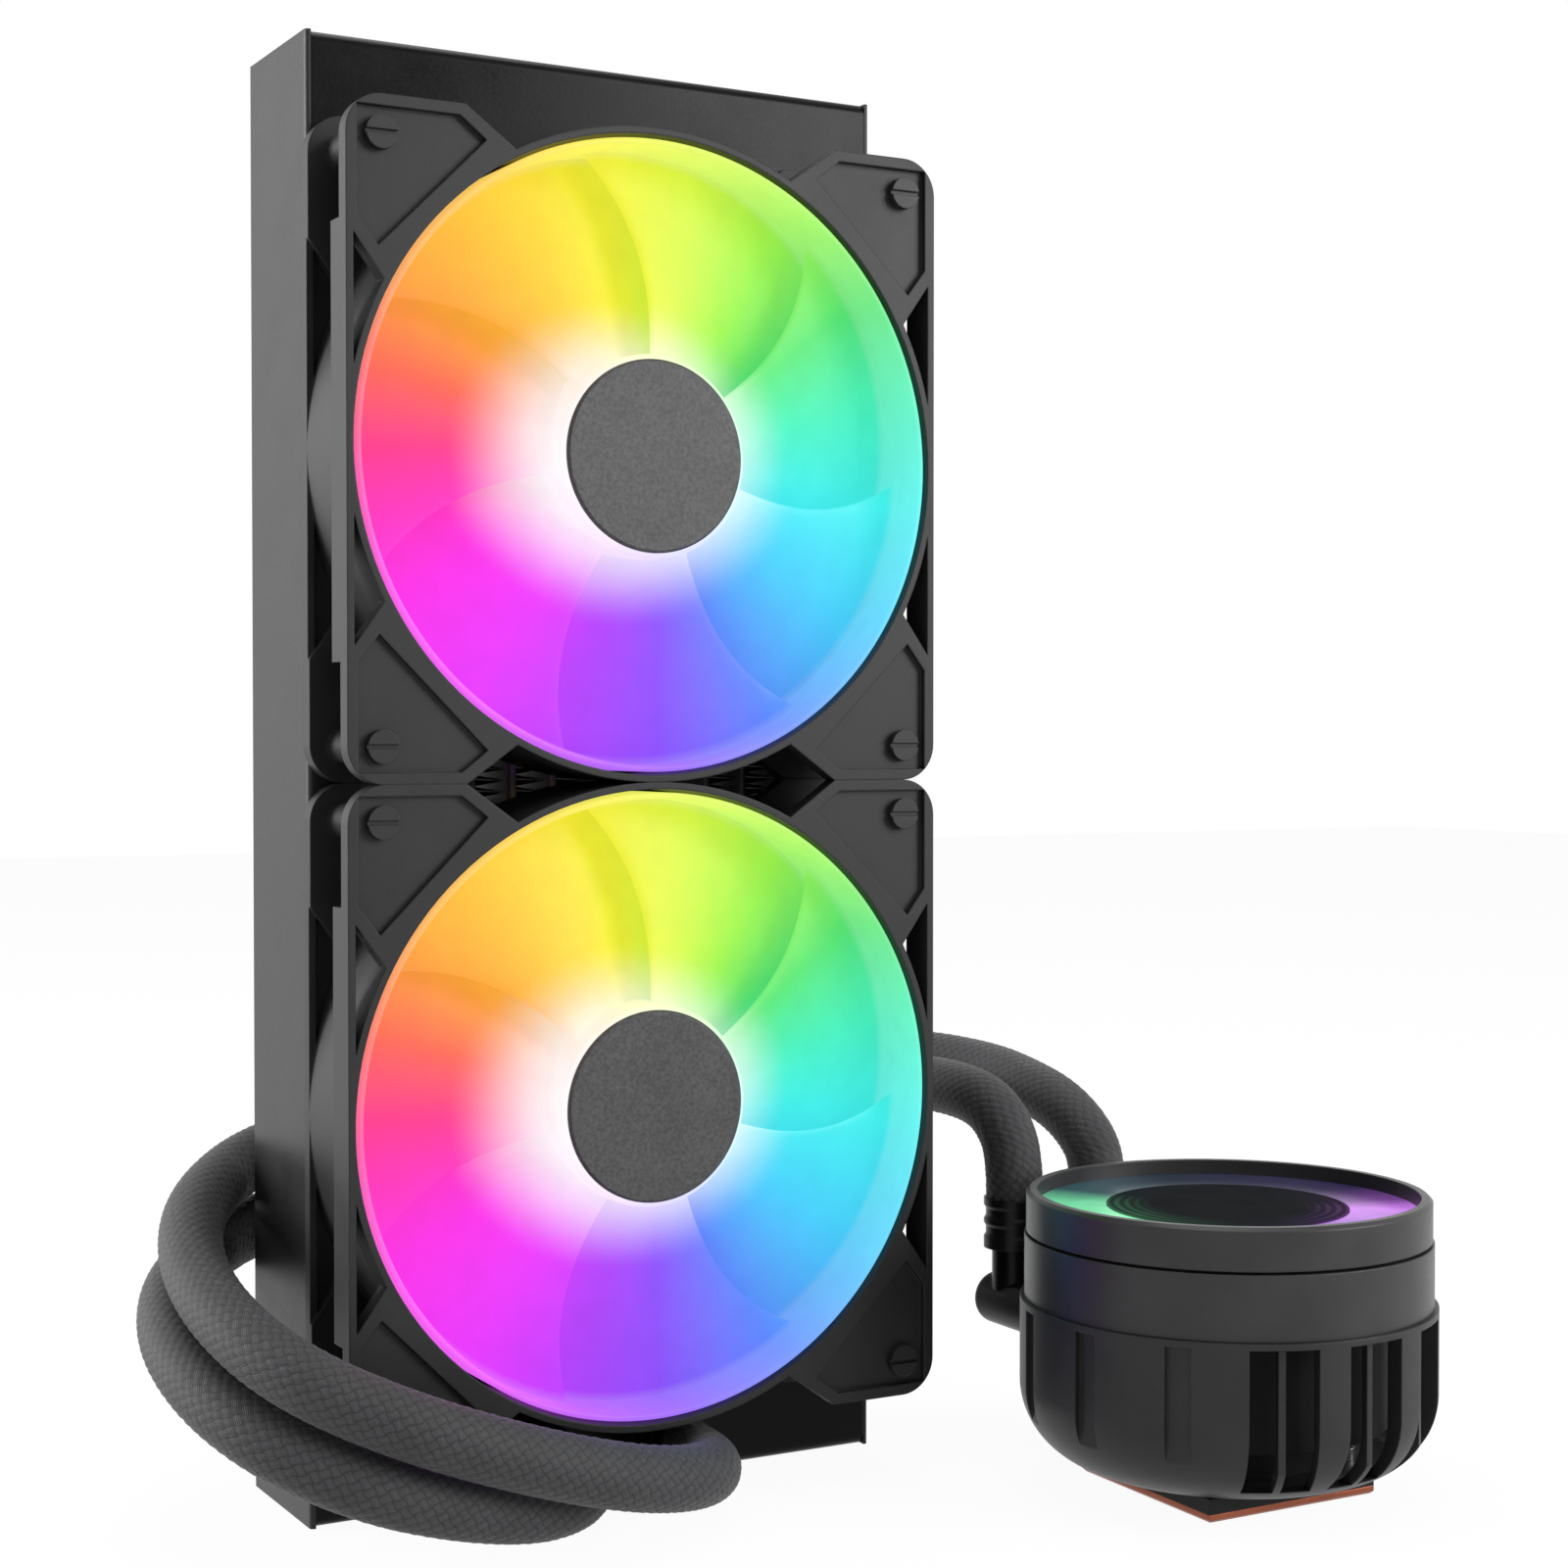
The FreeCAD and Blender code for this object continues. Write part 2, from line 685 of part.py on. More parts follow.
def fan_frame(name):
    """Square frame: a thin duct, two flanges of four ears joined by ribbed posts, side rails and the motor mount."""
    body = new_body(name)
    duct = sketch_on(body, name + "_duct")
    circle(duct, HALF_FAN)
    pad(body, duct, "fan_depth")
    for end, height in (("back", "0"), ("front", "fan_depth - ear_gauge")):
        ear = pad(body, corner_sketch(body, f"{name}_ear_{end}", height, False), "ear_gauge")
        polar(body, [ear], "4")
    for end, height in (("back", "0"), ("front", "fan_depth - front_rail_depth")):
        rail = sketch_on(body, f"{name}_rail_{end}", height=height)
        reach = f"({HALF_FAN} - ear_reach + 1)"
        polygon(rail, [
            (f"-{HALF_FAN}", f"-{reach}"), (f"-{HALF_FAN} + rail_width", f"-{reach}"),
            (f"-{HALF_FAN} + rail_width", reach), (f"-{HALF_FAN}", reach),
        ])
        polar(body, [pad(body, rail, f"{end}_rail_depth")], "2")
    post = sketch_on(body, name + "_post")
    circle(post, "fan_hole / 2 + post_wall", "-hole_pitch / 2", "hole_pitch / 2")
    rib = sketch_on(body, name + "_rib")
    polygon(rib, ray_corners("135", f"{DUCT_BORE} + duct_wall / 2", "hole_pitch / sqrt(2)",
                             "-rib_gauge / 2", "rib_gauge / 2"))
    between = "fan_depth - ear_gauge / 2"
    polar(body, [pad(body, post, between), pad(body, rib, between)], "4")
    bore = sketch_on(body, name + "_bore", height="fan_depth")
    circle(bore, DUCT_BORE)
    pocket(body, bore, "fan_depth")
    polar(body, [pocket(body, corner_sketch(body, name + "_recess", "fan_depth", True), "pocket_depth")], "4")
    hole = sketch_on(body, name + "_hole", height="fan_depth")
    circle(hole, "fan_hole / 2", "-hole_pitch / 2", "hole_pitch / 2")
    polar(body, [pocket(body, hole, "fan_depth")], "4")
    for x in (f"-{HALF_FAN}", HALF_FAN):
        for y in (f"-{HALF_FAN}", HALF_FAN):
            fillet(body, upright_at(x, y), "fan_corner")
    strut = sketch_on(body, name + "_strut")
    polygon(strut, [
        ("mount_radius - 2", "-strut_width / 2"), (f"{DUCT_BORE} + duct_wall / 2", "-strut_width / 2"),
        (f"{DUCT_BORE} + duct_wall / 2", "strut_width / 2"), ("mount_radius - 2", "strut_width / 2"),
    ])
    polar(body, [pad(body, strut, "strut_depth")], "strut_count")
    mount = sketch_on(body, name + "_mount")
    circle(mount, "mount_radius")
    pad(body, mount, "mount_gauge")
    tube = sketch_on(body, name + "_tube", height="mount_gauge")
    circle(tube, "bearing_radius + bearing_wall")
    pad(body, tube, "bearing_height")
    seat = sketch_on(body, name + "_seat", height="mount_gauge + bearing_height")
    circle(seat, "bearing_radius")
    pocket(body, seat, "bearing_height")
    return body


def blade_surface(start):
    """One blade: its height falls from the leading to the trailing edge, and it sweeps forward to the tip."""
    rows = []
    inner = mm("hub_radius - hub_wall / 2")
    outer = mm(f"{TIP_RADIUS} - tip_wall / 2")
    steps = (0.0, 0.3, 0.65, 1.0)
    for t in steps:
        radius = inner + t * (outer - inner)
        foot = mm("root_foot") + t * mm("blade_tip_foot - root_foot")
        head = mm("root_head") + t * mm("blade_tip_head - root_head")
        row = []
        for s in (0.0, 0.25, 0.5, 0.75, 1.0):
            angle = math.radians(start + mm("blade_sweep") * t ** 1.5 + mm("blade_span") * (s - 0.5))
            height = foot + (head - foot) * (s + 0.16 * math.sin(math.pi * s))
            row.append(Vector(radius * math.cos(angle), radius * math.sin(angle), height))
        rows.append(row)
    surface = Part.BSplineSurface()
    surface.interpolate(rows)
    return surface.toShape()


def fan_rotor(name):
    """One moulding: a hub cup, swept blades and a tip ring."""
    hub = turned(name + "_hub", [
        (HUB_BORE, "hub_foot"), ("hub_radius", "hub_foot"),
        ("hub_radius", "hub_head"), ("shaft_radius", "hub_head"),
        ("shaft_radius", "hub_head - hub_front_wall - hub_boss_height"),
        ("hub_boss_radius", "hub_head - hub_front_wall - hub_boss_height"),
        ("hub_boss_radius", "hub_head - hub_front_wall"), (HUB_BORE, "hub_head - hub_front_wall"),
    ])
    ring = turned(name + "_ring", [
        (f"{TIP_RADIUS} - tip_wall", "tip_foot"), (TIP_RADIUS, "tip_foot"), (TIP_RADIUS, "tip_head"),
        (f"{TIP_RADIUS} - tip_wall", "tip_head"),
    ])
    count = int(mm("blade_count"))
    gauge = Vector(0, 0, mm("blade_gauge"))
    blades = []
    for i in range(count):
        blades.append(custom(f"{name}_blade_{i}", blade_surface(360.0 * i / count).extrude(gauge)))
    return fuse(name, [hub, ring] + blades)


def fan_stator(name):
    """Four wound poles round the bearing tube."""
    body = new_body(name)
    core = sketch_on(body, name + "_core", height="mount_gauge + board_gauge")
    circle(core, "bearing_radius + bearing_wall + 3.5")
    pad(body, core, "stator_height")
    pole = sketch_on(body, name + "_pole", height="mount_gauge + board_gauge")
    tip = f"({HUB_BORE} - yoke_wall - magnet_wall - air_gap)"
    polygon(pole, [
        ("bearing_radius", "-pole_width / 2"), (f"{tip} - 2.5", "-pole_width / 2"),
        (f"{tip} - 2.5", "-pole_width"), (f"{tip} - 1", "-pole_width"),
        (f"{tip} - 1", "pole_width"), (f"{tip} - 2.5", "pole_width"),
        (f"{tip} - 2.5", "pole_width / 2"), ("bearing_radius", "pole_width / 2"),
    ])
    polar(body, [pad(body, pole, "stator_height")], "4")
    bore = sketch_on(body, name + "_bore", height="mount_gauge + board_gauge + stator_height")
    circle(bore, "bearing_radius + bearing_wall")
    pocket(body, bore, "stator_height")
    return body


def fan(which):
    """Every piece of one fan, stood up in front of the radiator."""
    bearing_top = "mount_gauge + bearing_height"
    magnet_head = "magnet_foot + magnet_height"
    pieces = {
        "fan_frame": fan_frame(f"frame_{which}"),
        "fan_rotor": fan_rotor(f"rotor_{which}"),
        "hub_disc": turned(f"disc_{which}", [
            ("0", "hub_head"), ("cap_disc_radius", "hub_head"),
            ("cap_disc_radius", "hub_head + cap_disc_gauge / 2"),
            ("cap_disc_radius - cap_disc_gauge / 2", "hub_head + cap_disc_gauge"),
            ("0", "hub_head + cap_disc_gauge"),
        ]),
        "rotor_yoke": tube_piece(f"yoke_{which}", f"{HUB_BORE} - yoke_wall", HUB_BORE,
                                 "magnet_foot", magnet_head),
        "magnet_ring": tube_piece(f"magnet_{which}", f"{HUB_BORE} - yoke_wall - magnet_wall",
                                  f"{HUB_BORE} - yoke_wall", "magnet_foot", magnet_head),
        "rotor_shaft": disc(f"shaft_{which}", "shaft_radius", "shaft_foot", "hub_head"),
        "sleeve_bearing": tube_piece(f"bearing_{which}", "shaft_radius + shaft_clearance", "bearing_radius",
                                     "mount_gauge", bearing_top),
        "fan_stator": fan_stator(f"stator_{which}"),
        "fan_board": tube_piece(f"board_{which}", "bearing_radius + bearing_wall", "mount_radius - 2",
                                "mount_gauge", "mount_gauge + board_gauge"),
    }
    for kind, piece in pieces.items():
        place(piece, "0", f"-{HALF_DEPTH}", FAN_CENTRES[which], FORWARD)
        node(piece, f"{kind}_{which}")


def fan_screws():
    """Eight pan-head screws through both ears into the side plates' flanges."""
    screws = []
    face = f"-{HALF_DEPTH} - fan_depth + pocket_depth"
    for which, centre in FAN_CENTRES.items():
        for i, (a, b) in enumerate(((-1, -1), (1, -1), (1, 1), (-1, 1))):
            name = f"screw_{which}_{i}"
            x = f"{a} * hole_pitch / 2"
            z = f"{centre} + {b} * hole_pitch / 2"
            shank = rod(name + "_shank", "screw_radius", x, face, z,
                        "fan_depth - pocket_depth + plate_gauge + screw_reach", BACKWARD)
            head = rod(name + "_head", "screw_head_radius", x, f"{face} - screw_head_height", z,
                       "screw_head_height", BACKWARD)
            slot = box(name + "_slot", (f"{x} - screw_head_radius", f"{x} + screw_head_radius"),
                       (f"{face} - screw_head_height - 1", f"{face} - screw_head_height + 0.8"),
                       (f"{z} - 0.5", f"{z} + 0.5"))
            screws.append(cut(name, fuse(name + "_blank", [shank, head]), [slot]))
    node(group("fan_screws", screws), "fan_screws")


# Hoses

def hose(points, diameter):
    """A tube of straight runs joined by tangent arcs, each as large as its two runs allow."""
    corners = [Vector(*point) for point in points]
    edges = []
    radii = []
    start = corners[0]
    for before, corner, after in zip(corners, corners[1:], corners[2:]):
        into = corner - before
        out = after - corner
        turn = into.getAngle(out)
        trim = ARC_SHARE * min(into.Length, out.Length)
        radii.append(trim / math.tan(turn / 2))
        first = corner - into.normalize() * trim
        last = corner + out.normalize() * trim
        inward = (first + last) * 0.5 - corner
        reach = radii[-1] / math.cos(turn / 2) - radii[-1]
        middle = corner + inward.normalize() * reach
        edges.append(Part.LineSegment(start, first).toShape())
        edges.append(Part.Arc(first, middle, last).toShape())
        start = last
    edges.append(Part.LineSegment(start, corners[-1]).toShape())
    path = Part.Wire(edges)
    outline = Part.Wire([Part.Circle(corners[0], corners[1] - corners[0], diameter / 2).toShape()])
    shape = path.makePipeShell([outline], True, False)
    expected = math.pi * diameter ** 2 / 4 * path.Length
    print(f"hose: {path.Length:.1f} mm long, radii", " ".join(f"{radius:.0f}" for radius in radii),
          f"volume ratio {shape.Volume / expected:.4f}")
    return shape


def hoses():
    node(custom("hose_one", hose(ROUTE_ONE, mm("hose_diameter"))), "hose_one")
    node(custom("hose_two", hose(ROUTE_TWO, mm("hose_diameter"))), "hose_two")


def ferrule(name, x, y, z, turn):
    """A crimped sleeve with two grooves pressed into it, along the fitting's spigot."""
    step = "ferrule_length / 7"
    outer = "ferrule_radius"
    waist = "(ferrule_radius - ferrule_groove)"
    levels = [(outer, 0), (outer, 1.5), (waist, 2), (waist, 3), (outer, 3.5), (outer, 4), (waist, 4.5),
              (waist, 5.5), (outer, 6), (outer, 7)]
    corners = [("spigot_radius", "0")] + [(radius, f"{share} * {step}") for radius, share in levels]
    corners.append(("spigot_radius", "ferrule_length"))
    return place(turned(name, corners), x, y, z, turn)


def radiator_ports():
    """Two flanged spigots on the lower tank, and the sleeves that clamp the hoses on them."""
    spigots = []
    sleeves = []
    for i, x in enumerate(("port_one_x", "port_two_x")):
        boss = rod(f"port_boss_{i}", "boss_radius", x, f"-{HALF_DEPTH}", "port_height",
                   "boss_height", FORWARD)
        pipe = rod(f"port_pipe_{i}", "spigot_radius", x, f"-{HALF_DEPTH} + tank_wall", "port_height",
                   "tank_wall + boss_height + ferrule_length", FORWARD)
        bore = rod(f"port_bore_{i}", "spigot_radius - spigot_wall", x, f"-{HALF_DEPTH} + tank_wall + 1",
                   "port_height", "tank_wall + boss_height + ferrule_length + 2", FORWARD)
        spigots.append(cut(f"port_{i}", fuse(f"port_blank_{i}", [boss, pipe]), [bore]))
        sleeves.append(ferrule(f"port_sleeve_{i}", x, f"-{HALF_DEPTH} - boss_height", "port_height", FORWARD))
    node(group("radiator_ports", spigots), "radiator_ports")
    node(group("radiator_ferrules", sleeves), "radiator_ferrules")


# Pump block

PUMP_Y = "-pump_forward"
BASE_TOP = "(cold_plate_gauge + base_flange)"


def pump_node(item, label):
    place(item, "pump_x", PUMP_Y)
    return node(item, label)


def square(half):
    return [(f"-({half})", f"-({half})"), (half, f"-({half})"), (half, half), (f"-({half})", half)]


def cold_plate():
    """A copper plate with skived fins on top and four countersunk holes."""
    body = new_body("plate_body")
    outline = sketch_on(body, "plate_outline")
    polygon(outline, square("cold_plate_size / 2"))
    pad(body, outline, "cold_plate_gauge")
    fillet(body, lambda edge: edge.BoundBox.ZMax < 1e-6, "cold_plate_chamfer", "Chamfer", "Size")
    block = "cold_fin_block / 2"
    fins = sketch_on(body, "plate_fins", height="cold_plate_gauge")
    pitch = "cold_fin_block / (2 * cold_fin_count - 1)"
    for i in range(int(mm("cold_fin_count"))):
        low = f"-{block} + {2 * i} * {pitch}"
        high = f"{low} + {pitch}"
        polygon(fins, [(low, f"-{block}"), (high, f"-{block}"), (high, block), (low, block)])
    pad(body, fins, "cold_fin_height")
    shaft = sketch_on(body, "plate_hole")
    circle(shaft, "plate_screw_radius + screw_play", "plate_screw_pitch / 2", "plate_screw_pitch / 2")
    sink = sketch_on(body, "plate_sink")
    circle(sink, "plate_screw_head + screw_play", "plate_screw_pitch / 2", "plate_screw_pitch / 2")
    cuts = [pocket(body, shaft, "cold_plate_gauge", True), pocket(body, sink, "plate_screw_sink", True)]
    polar(body, cuts, "4")
    pump_node(body, "cold_plate")


def plate_screws():
    """Four flush screws that hold the cold plate to the housing."""
    screws = []
    for i, (a, b) in enumerate(((-1, -1), (1, -1), (1, 1), (-1, 1))):
        x = f"{a} * plate_screw_pitch / 2"
        y = f"{b} * plate_screw_pitch / 2"
        head = rod(f"plate_screw_head_{i}", "plate_screw_head", x, y, "0.2", "plate_screw_sink - 0.2")
        shank = rod(f"plate_screw_shank_{i}", "plate_screw_radius", x, y, "plate_screw_sink",
                    "plate_screw_length")
        screws.append(fuse(f"plate_screw_{i}", [head, shank]))
    pump_node(group("plate_screws", screws), "plate_screws")


def wall_cuts(body, name, first, inner, sides, count):
    """Upright slots through or into the housing's wall, repeated round it at one pitch."""
    sketch = sketch_on(body, name, height="slot_top")
    for low, high in sides:
        polygon(sketch, ray_corners(first, inner, "housing_radius + vane_recess", low, high))
    polar(body, [pocket(body, sketch, "slot_top - slot_foot")], count, "slot_pitch")


def ribbed_housing():
    """A bowl with tall vents, each split by a set-back vane; the ports' side and the left side are closed."""
    body = new_body("housing_body")
    foot = BASE_TOP
    revolve(body, "housing_outline", [
        ("base_radius + base_play", foot), ("housing_radius", foot), ("housing_radius", "housing_top"),
        ("housing_bore", "housing_top"), ("housing_bore", f"{foot} + housing_floor"),
        ("base_radius + base_play", f"{foot} + housing_floor"),
    ])
    fillet(body, ring_at("housing_radius", foot), "housing_round")
    fillet(body, ring_at("housing_bore", f"{foot} + housing_floor"), "housing_round_inside")
    half = "slot_width / 2"
    wall_cuts(body, "housing_flute", "flute_start", "housing_radius - flute_depth",
              [("-flute_width / 2", "flute_width / 2")], "flute_count")
    wall_cuts(body, "housing_recess", "slot_start", "housing_radius - vane_recess",
              [(f"-{half}", half)], "slot_count")
    wall_cuts(body, "housing_vent", "slot_start", "(base_radius + chamber_radius) / 2",
              [(f"-{half}", "-vane_gauge / 2"), ("vane_gauge / 2", half)], "slot_count")
    screw = sketch_on(body, "housing_screw", height=f"{foot} + housing_floor")
    circle(screw, "plate_screw_radius + screw_play", "plate_screw_pitch / 2", "plate_screw_pitch / 2")
    polar(body, [pocket(body, screw, "housing_floor")], "4")
    ports = sketch_on(body, "housing_ports", "XZ_Plane")
    for x in ("elbow_one_x", "elbow_two_x"):
        circle(ports, "elbow_radius + elbow_hole_play", x, "elbow_height")
    pocket(body, ports, "housing_radius + 2")
    pump_node(body, "ribbed_housing")


def pump_core():
    """Square-footed base, chamber, impeller, coils and board, stacked on the cold plate."""
    foot = "cold_plate_gauge"
    seal_top = f"{foot} + seal_height"
    pump_node(tube_piece("seal_body", "seal_inside", "seal_outside", foot, seal_top), "plate_seal")
    base = turned("base_body", [
        ("shaft_radius", "base_cavity_top"), ("base_cavity", "base_cavity_top"), ("base_cavity", foot),
        ("seal_inside", foot), ("seal_inside", seal_top), ("seal_outside", seal_top), ("seal_outside", foot),
        ("base_radius", foot), ("base_radius", "base_top"), ("shaft_radius", "base_top"),
    ])
    flange = sketch_on(base, "base_square", height=foot)
    polygon(flange, square("cold_plate_size / 2"))
    circle(flange, "seal_outside + seal_land / 2")
    pad(base, flange, "base_flange")
    hole = sketch_on(base, "base_hole", height=foot)
    circle(hole, "plate_screw_radius + screw_play", "plate_screw_pitch / 2", "plate_screw_pitch / 2")
    polar(base, [pocket(base, hole, "base_flange", True)], "4")
    pump_node(base, "pump_base")
    can = "(rotor_cavity + can_wall)"
    chamber = turned("chamber_body", [
        ("impeller_cavity", "base_top"), ("chamber_radius", "base_top"), ("chamber_radius", "chamber_top"),
        ("coil_cavity", "chamber_top"), ("coil_cavity", "coil_floor"),
        (can, "coil_floor"), (can, "chamber_top"),
        ("shaft_radius", "chamber_top"), ("shaft_radius", "rotor_cavity_top"),
        ("rotor_cavity", "rotor_cavity_top"), ("rotor_cavity", "impeller_cavity_top"),
        ("impeller_cavity", "impeller_cavity_top"),
    ])
    behind = box("chamber_behind", ("-chamber_radius", "chamber_radius"),
                 ("manifold_back", "manifold_back + chamber_radius"), ("base_top - 1", "chamber_top + 1"))
    chamber = cut("chamber_flat", chamber, [behind])
    block = box("manifold_block", ("-manifold_left", "manifold_right"), ("0", "manifold_back"),
                ("manifold_foot", "chamber_top"))
    core = rod("manifold_core", "coil_cavity + can_wall", "0", "0", "base_top", "pump_height")
    block = cut("manifold", block, [core])
    pump_node(fuse("chamber_with_manifold", [chamber, block]), "pump_chamber")
    pump_node(disc("spindle", "shaft_radius", "base_cavity_top", "chamber_top"), "pump_spindle")
    pump_node(impeller(), "pump_impeller")
    pump_node(tube_piece("coil_body", can, "coil_cavity", "coil_floor", "coil_floor + coil_height"),
              "pump_coils")
    pump_node(disc("pump_board_disc", "pump_board_radius", "chamber_top", "chamber_top + board_gauge"),
              "pump_board")


def impeller():
    """A disc with curved vanes under a round magnet, bored for the spindle."""
    bore = "(shaft_radius + shaft_clearance)"
    disc_top = "impeller_head"
    body = turned("impeller_turned", [
        (bore, "impeller_foot"), ("impeller_magnet / 2", "impeller_foot"),
        ("impeller_magnet / 2", f"{disc_top} - impeller_disc"),
        ("impeller_radius", f"{disc_top} - impeller_disc"),
        ("impeller_radius", disc_top), ("impeller_magnet", disc_top),
        ("impeller_magnet", "impeller_magnet_top"), (bore, "impeller_magnet_top"),
    ])
    vane = sketch_on(body, "impeller_vane", height="impeller_foot")
    polygon(vane, [("impeller_magnet / 2 - 0.4", "-0.6"), ("impeller_radius * 0.7", "-0.2"),
                   ("impeller_radius * 0.92", "2.4"), ("impeller_radius * 0.85", "3.4"),
                   ("impeller_radius * 0.65", "1"), ("impeller_magnet / 2 - 0.4", "0.6")])
    polar(body, [pad(body, vane, f"{disc_top} - impeller_foot - impeller_disc / 2")], "impeller_vanes")
    return body


def pump_elbow(label, x):
    """An elbow: a barrel out of the pump's back, and an upright stem whose spigot the hose slides over."""
    across = f"pump_x + {x}"
    back = f"{PUMP_Y} + elbow_back + elbow_knuckle"
    face = f"{PUMP_Y} + manifold_back"
    stem_y = f"{PUMP_Y} + elbow_back"
    barrel = rod(label + "_barrel", "elbow_radius", across, back, "elbow_height",
                 f"({back}) - ({face})", FORWARD)
    numbers = edge_numbers(barrel, lambda edge: isinstance(edge.Curve, Part.Circle)
                           and abs(edge.BoundBox.YMin - mm(back)) < 1e-3)
    barrel = rounded(label + "_knuckle", barrel, numbers, "elbow_round")
    stem = rod(label + "_stem", "stem_radius", across, stem_y, "elbow_height", "stem_top - elbow_height")
    pipe = rod(label + "_pipe", "spigot_radius", across, stem_y, "elbow_height",
               "stem_top + ferrule_length - elbow_height")
    bore = rod(label + "_bore", "spigot_radius - spigot_wall", across, stem_y, "elbow_height",
               "stem_top + ferrule_length - elbow_height + 1")
    node(cut(label, fuse(label + "_blank", [barrel, stem, pipe]), [bore]), label)
    return ferrule(label + "_sleeve", across, stem_y, "stem_top", None)


def cap():
    """The round cap: a band with a vented deck, a cup with the light ring, and a dark glossy disc."""
    band_bore = "(band_radius - band_wall)"
    neck_bore = "(neck_outside - neck_wall)"
    band = turned("band_body", [
        ("deck_bore", "housing_top"), ("band_radius", "housing_top"), ("band_radius", "band_top"),
        ("neck_outside", "band_top"), ("neck_outside", "neck_top"), (neck_bore, "neck_top"),
        (neck_bore, "band_top - neck_shoulder"), (band_bore, "band_top - neck_shoulder"),
        (band_bore, "housing_top + deck_gauge"), ("deck_bore", "housing_top + deck_gauge"),
    ])
    hole = sketch_on(band, "deck_hole", height="housing_top + deck_gauge")
    circle(hole, "deck_hole_radius", "chamber_radius", "0")
    polar(band, [pocket(band, hole, "deck_gauge")], "deck_holes")
    pump_node(band, "cap_band")
    floor_top = "(neck_top + cap_floor)"
    cup = turned("cap_cup_body", [
        ("neck_outside", "band_top + seam_gap"), ("cap_radius", "band_top + seam_gap"),
        ("cap_radius", "pump_height"), ("neck_outside", "pump_height"), ("neck_outside", floor_top),
        ("0", floor_top), ("0", "neck_top"), ("neck_outside", "neck_top"),
    ])
    fillet(cup, ring_at("cap_radius", "pump_height"), "cap_chamfer", "Chamfer", "Size")
    pump_node(cup, "cap_cup")
    ring = ("light_inside + light_play", "neck_outside - light_play")
    board_top = f"{floor_top} + light_board"
    pump_node(tube_piece("light_board_body", *ring, floor_top, board_top), "light_board")
    pump_node(tube_piece("light_ring_body", *ring, board_top, f"{board_top} + light_gauge"), "light_ring")
    pump_node(disc("mirror", "light_inside", floor_top, f"{floor_top} + mirror_gauge"), "mirror_disc")


def vent_fan():
    """The small fan under the cap that blows out through the ribs."""
    deck = "(housing_top + deck_gauge)"
    bore = "(shaft_radius + shaft_clearance)"
    pump_node(tube_piece("vent_stator_body", bore, "vent_stator_radius", deck, "vent_stator_top"),
              "vent_stator")
    pump_node(disc("vent_pin", "shaft_radius", "vent_shaft_foot", "vent_hub_top"), "vent_shaft")
    hub = turned("vent_hub", [
        ("vent_hub_radius - vent_hub_wall", "vent_hub_foot"), ("vent_hub_radius", "vent_hub_foot"),
        ("vent_hub_radius", "vent_hub_top"), ("shaft_radius", "vent_hub_top"),
        ("shaft_radius", "vent_hub_top - vent_hub_roof"),
        ("vent_hub_radius - vent_hub_wall", "vent_hub_top - vent_hub_roof"),
    ])
    blade = sketch_on(hub, "vent_blade", height="vent_blade_foot")
    root = "(vent_hub_radius - vent_hub_wall / 2)"
    tip_x = "vent_blade_reach * cos(vent_blade_lean)"
    tip_y = "vent_blade_reach * sin(vent_blade_lean)"
    knee_x = "vent_blade_reach * cos(vent_blade_lean / 2)"
    polygon(blade, [
        (root, "-vent_blade_gauge / 2"), (f"{knee_x} * 0.62", f"{root} * 0.28"), (tip_x, tip_y),
        (f"{tip_x} - vent_blade_gauge", f"{tip_y} + vent_blade_gauge / 4"),
        (f"{knee_x} * 0.58", f"{root} * 0.28 + vent_blade_gauge"), (root, "vent_blade_gauge / 2"),
    ])
    polar(hub, [pad(hub, blade, "vent_blade_top - vent_blade_foot")], "vent_blade_count")
    pump_node(hub, "vent_rotor")


radiator()
for which in ("upper", "lower"):
    fan(which)
fan_screws()
radiator_ports()
cold_plate()
plate_screws()
ribbed_housing()
pump_core()
cap()
vent_fan()
pump_sleeves = [pump_elbow("pump_elbow_one", "elbow_one_x"), pump_elbow("pump_elbow_two", "elbow_two_x")]
node(group("pump_ferrules", pump_sleeves), "pump_ferrules")
hoses()
doc.recompute()

# Nothing is written unless every object and every sub-part is sound.
for item in doc.Objects:
    if "Invalid" in item.State or "Error" in item.State:
        raise RuntimeError(f"{item.Name} failed: {item.State}")
for item in nodes:
    if item.Shape.isNull() or not item.Shape.isValid() or not item.Shape.Solids:
        raise RuntimeError(f"{item.Label} has no valid solid")
os.makedirs("parts", exist_ok=True)
for item in nodes:
    item.Shape.exportStep(os.path.join("parts", item.Label + ".step"))
print(len(nodes), "sub-parts written")
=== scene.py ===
import math

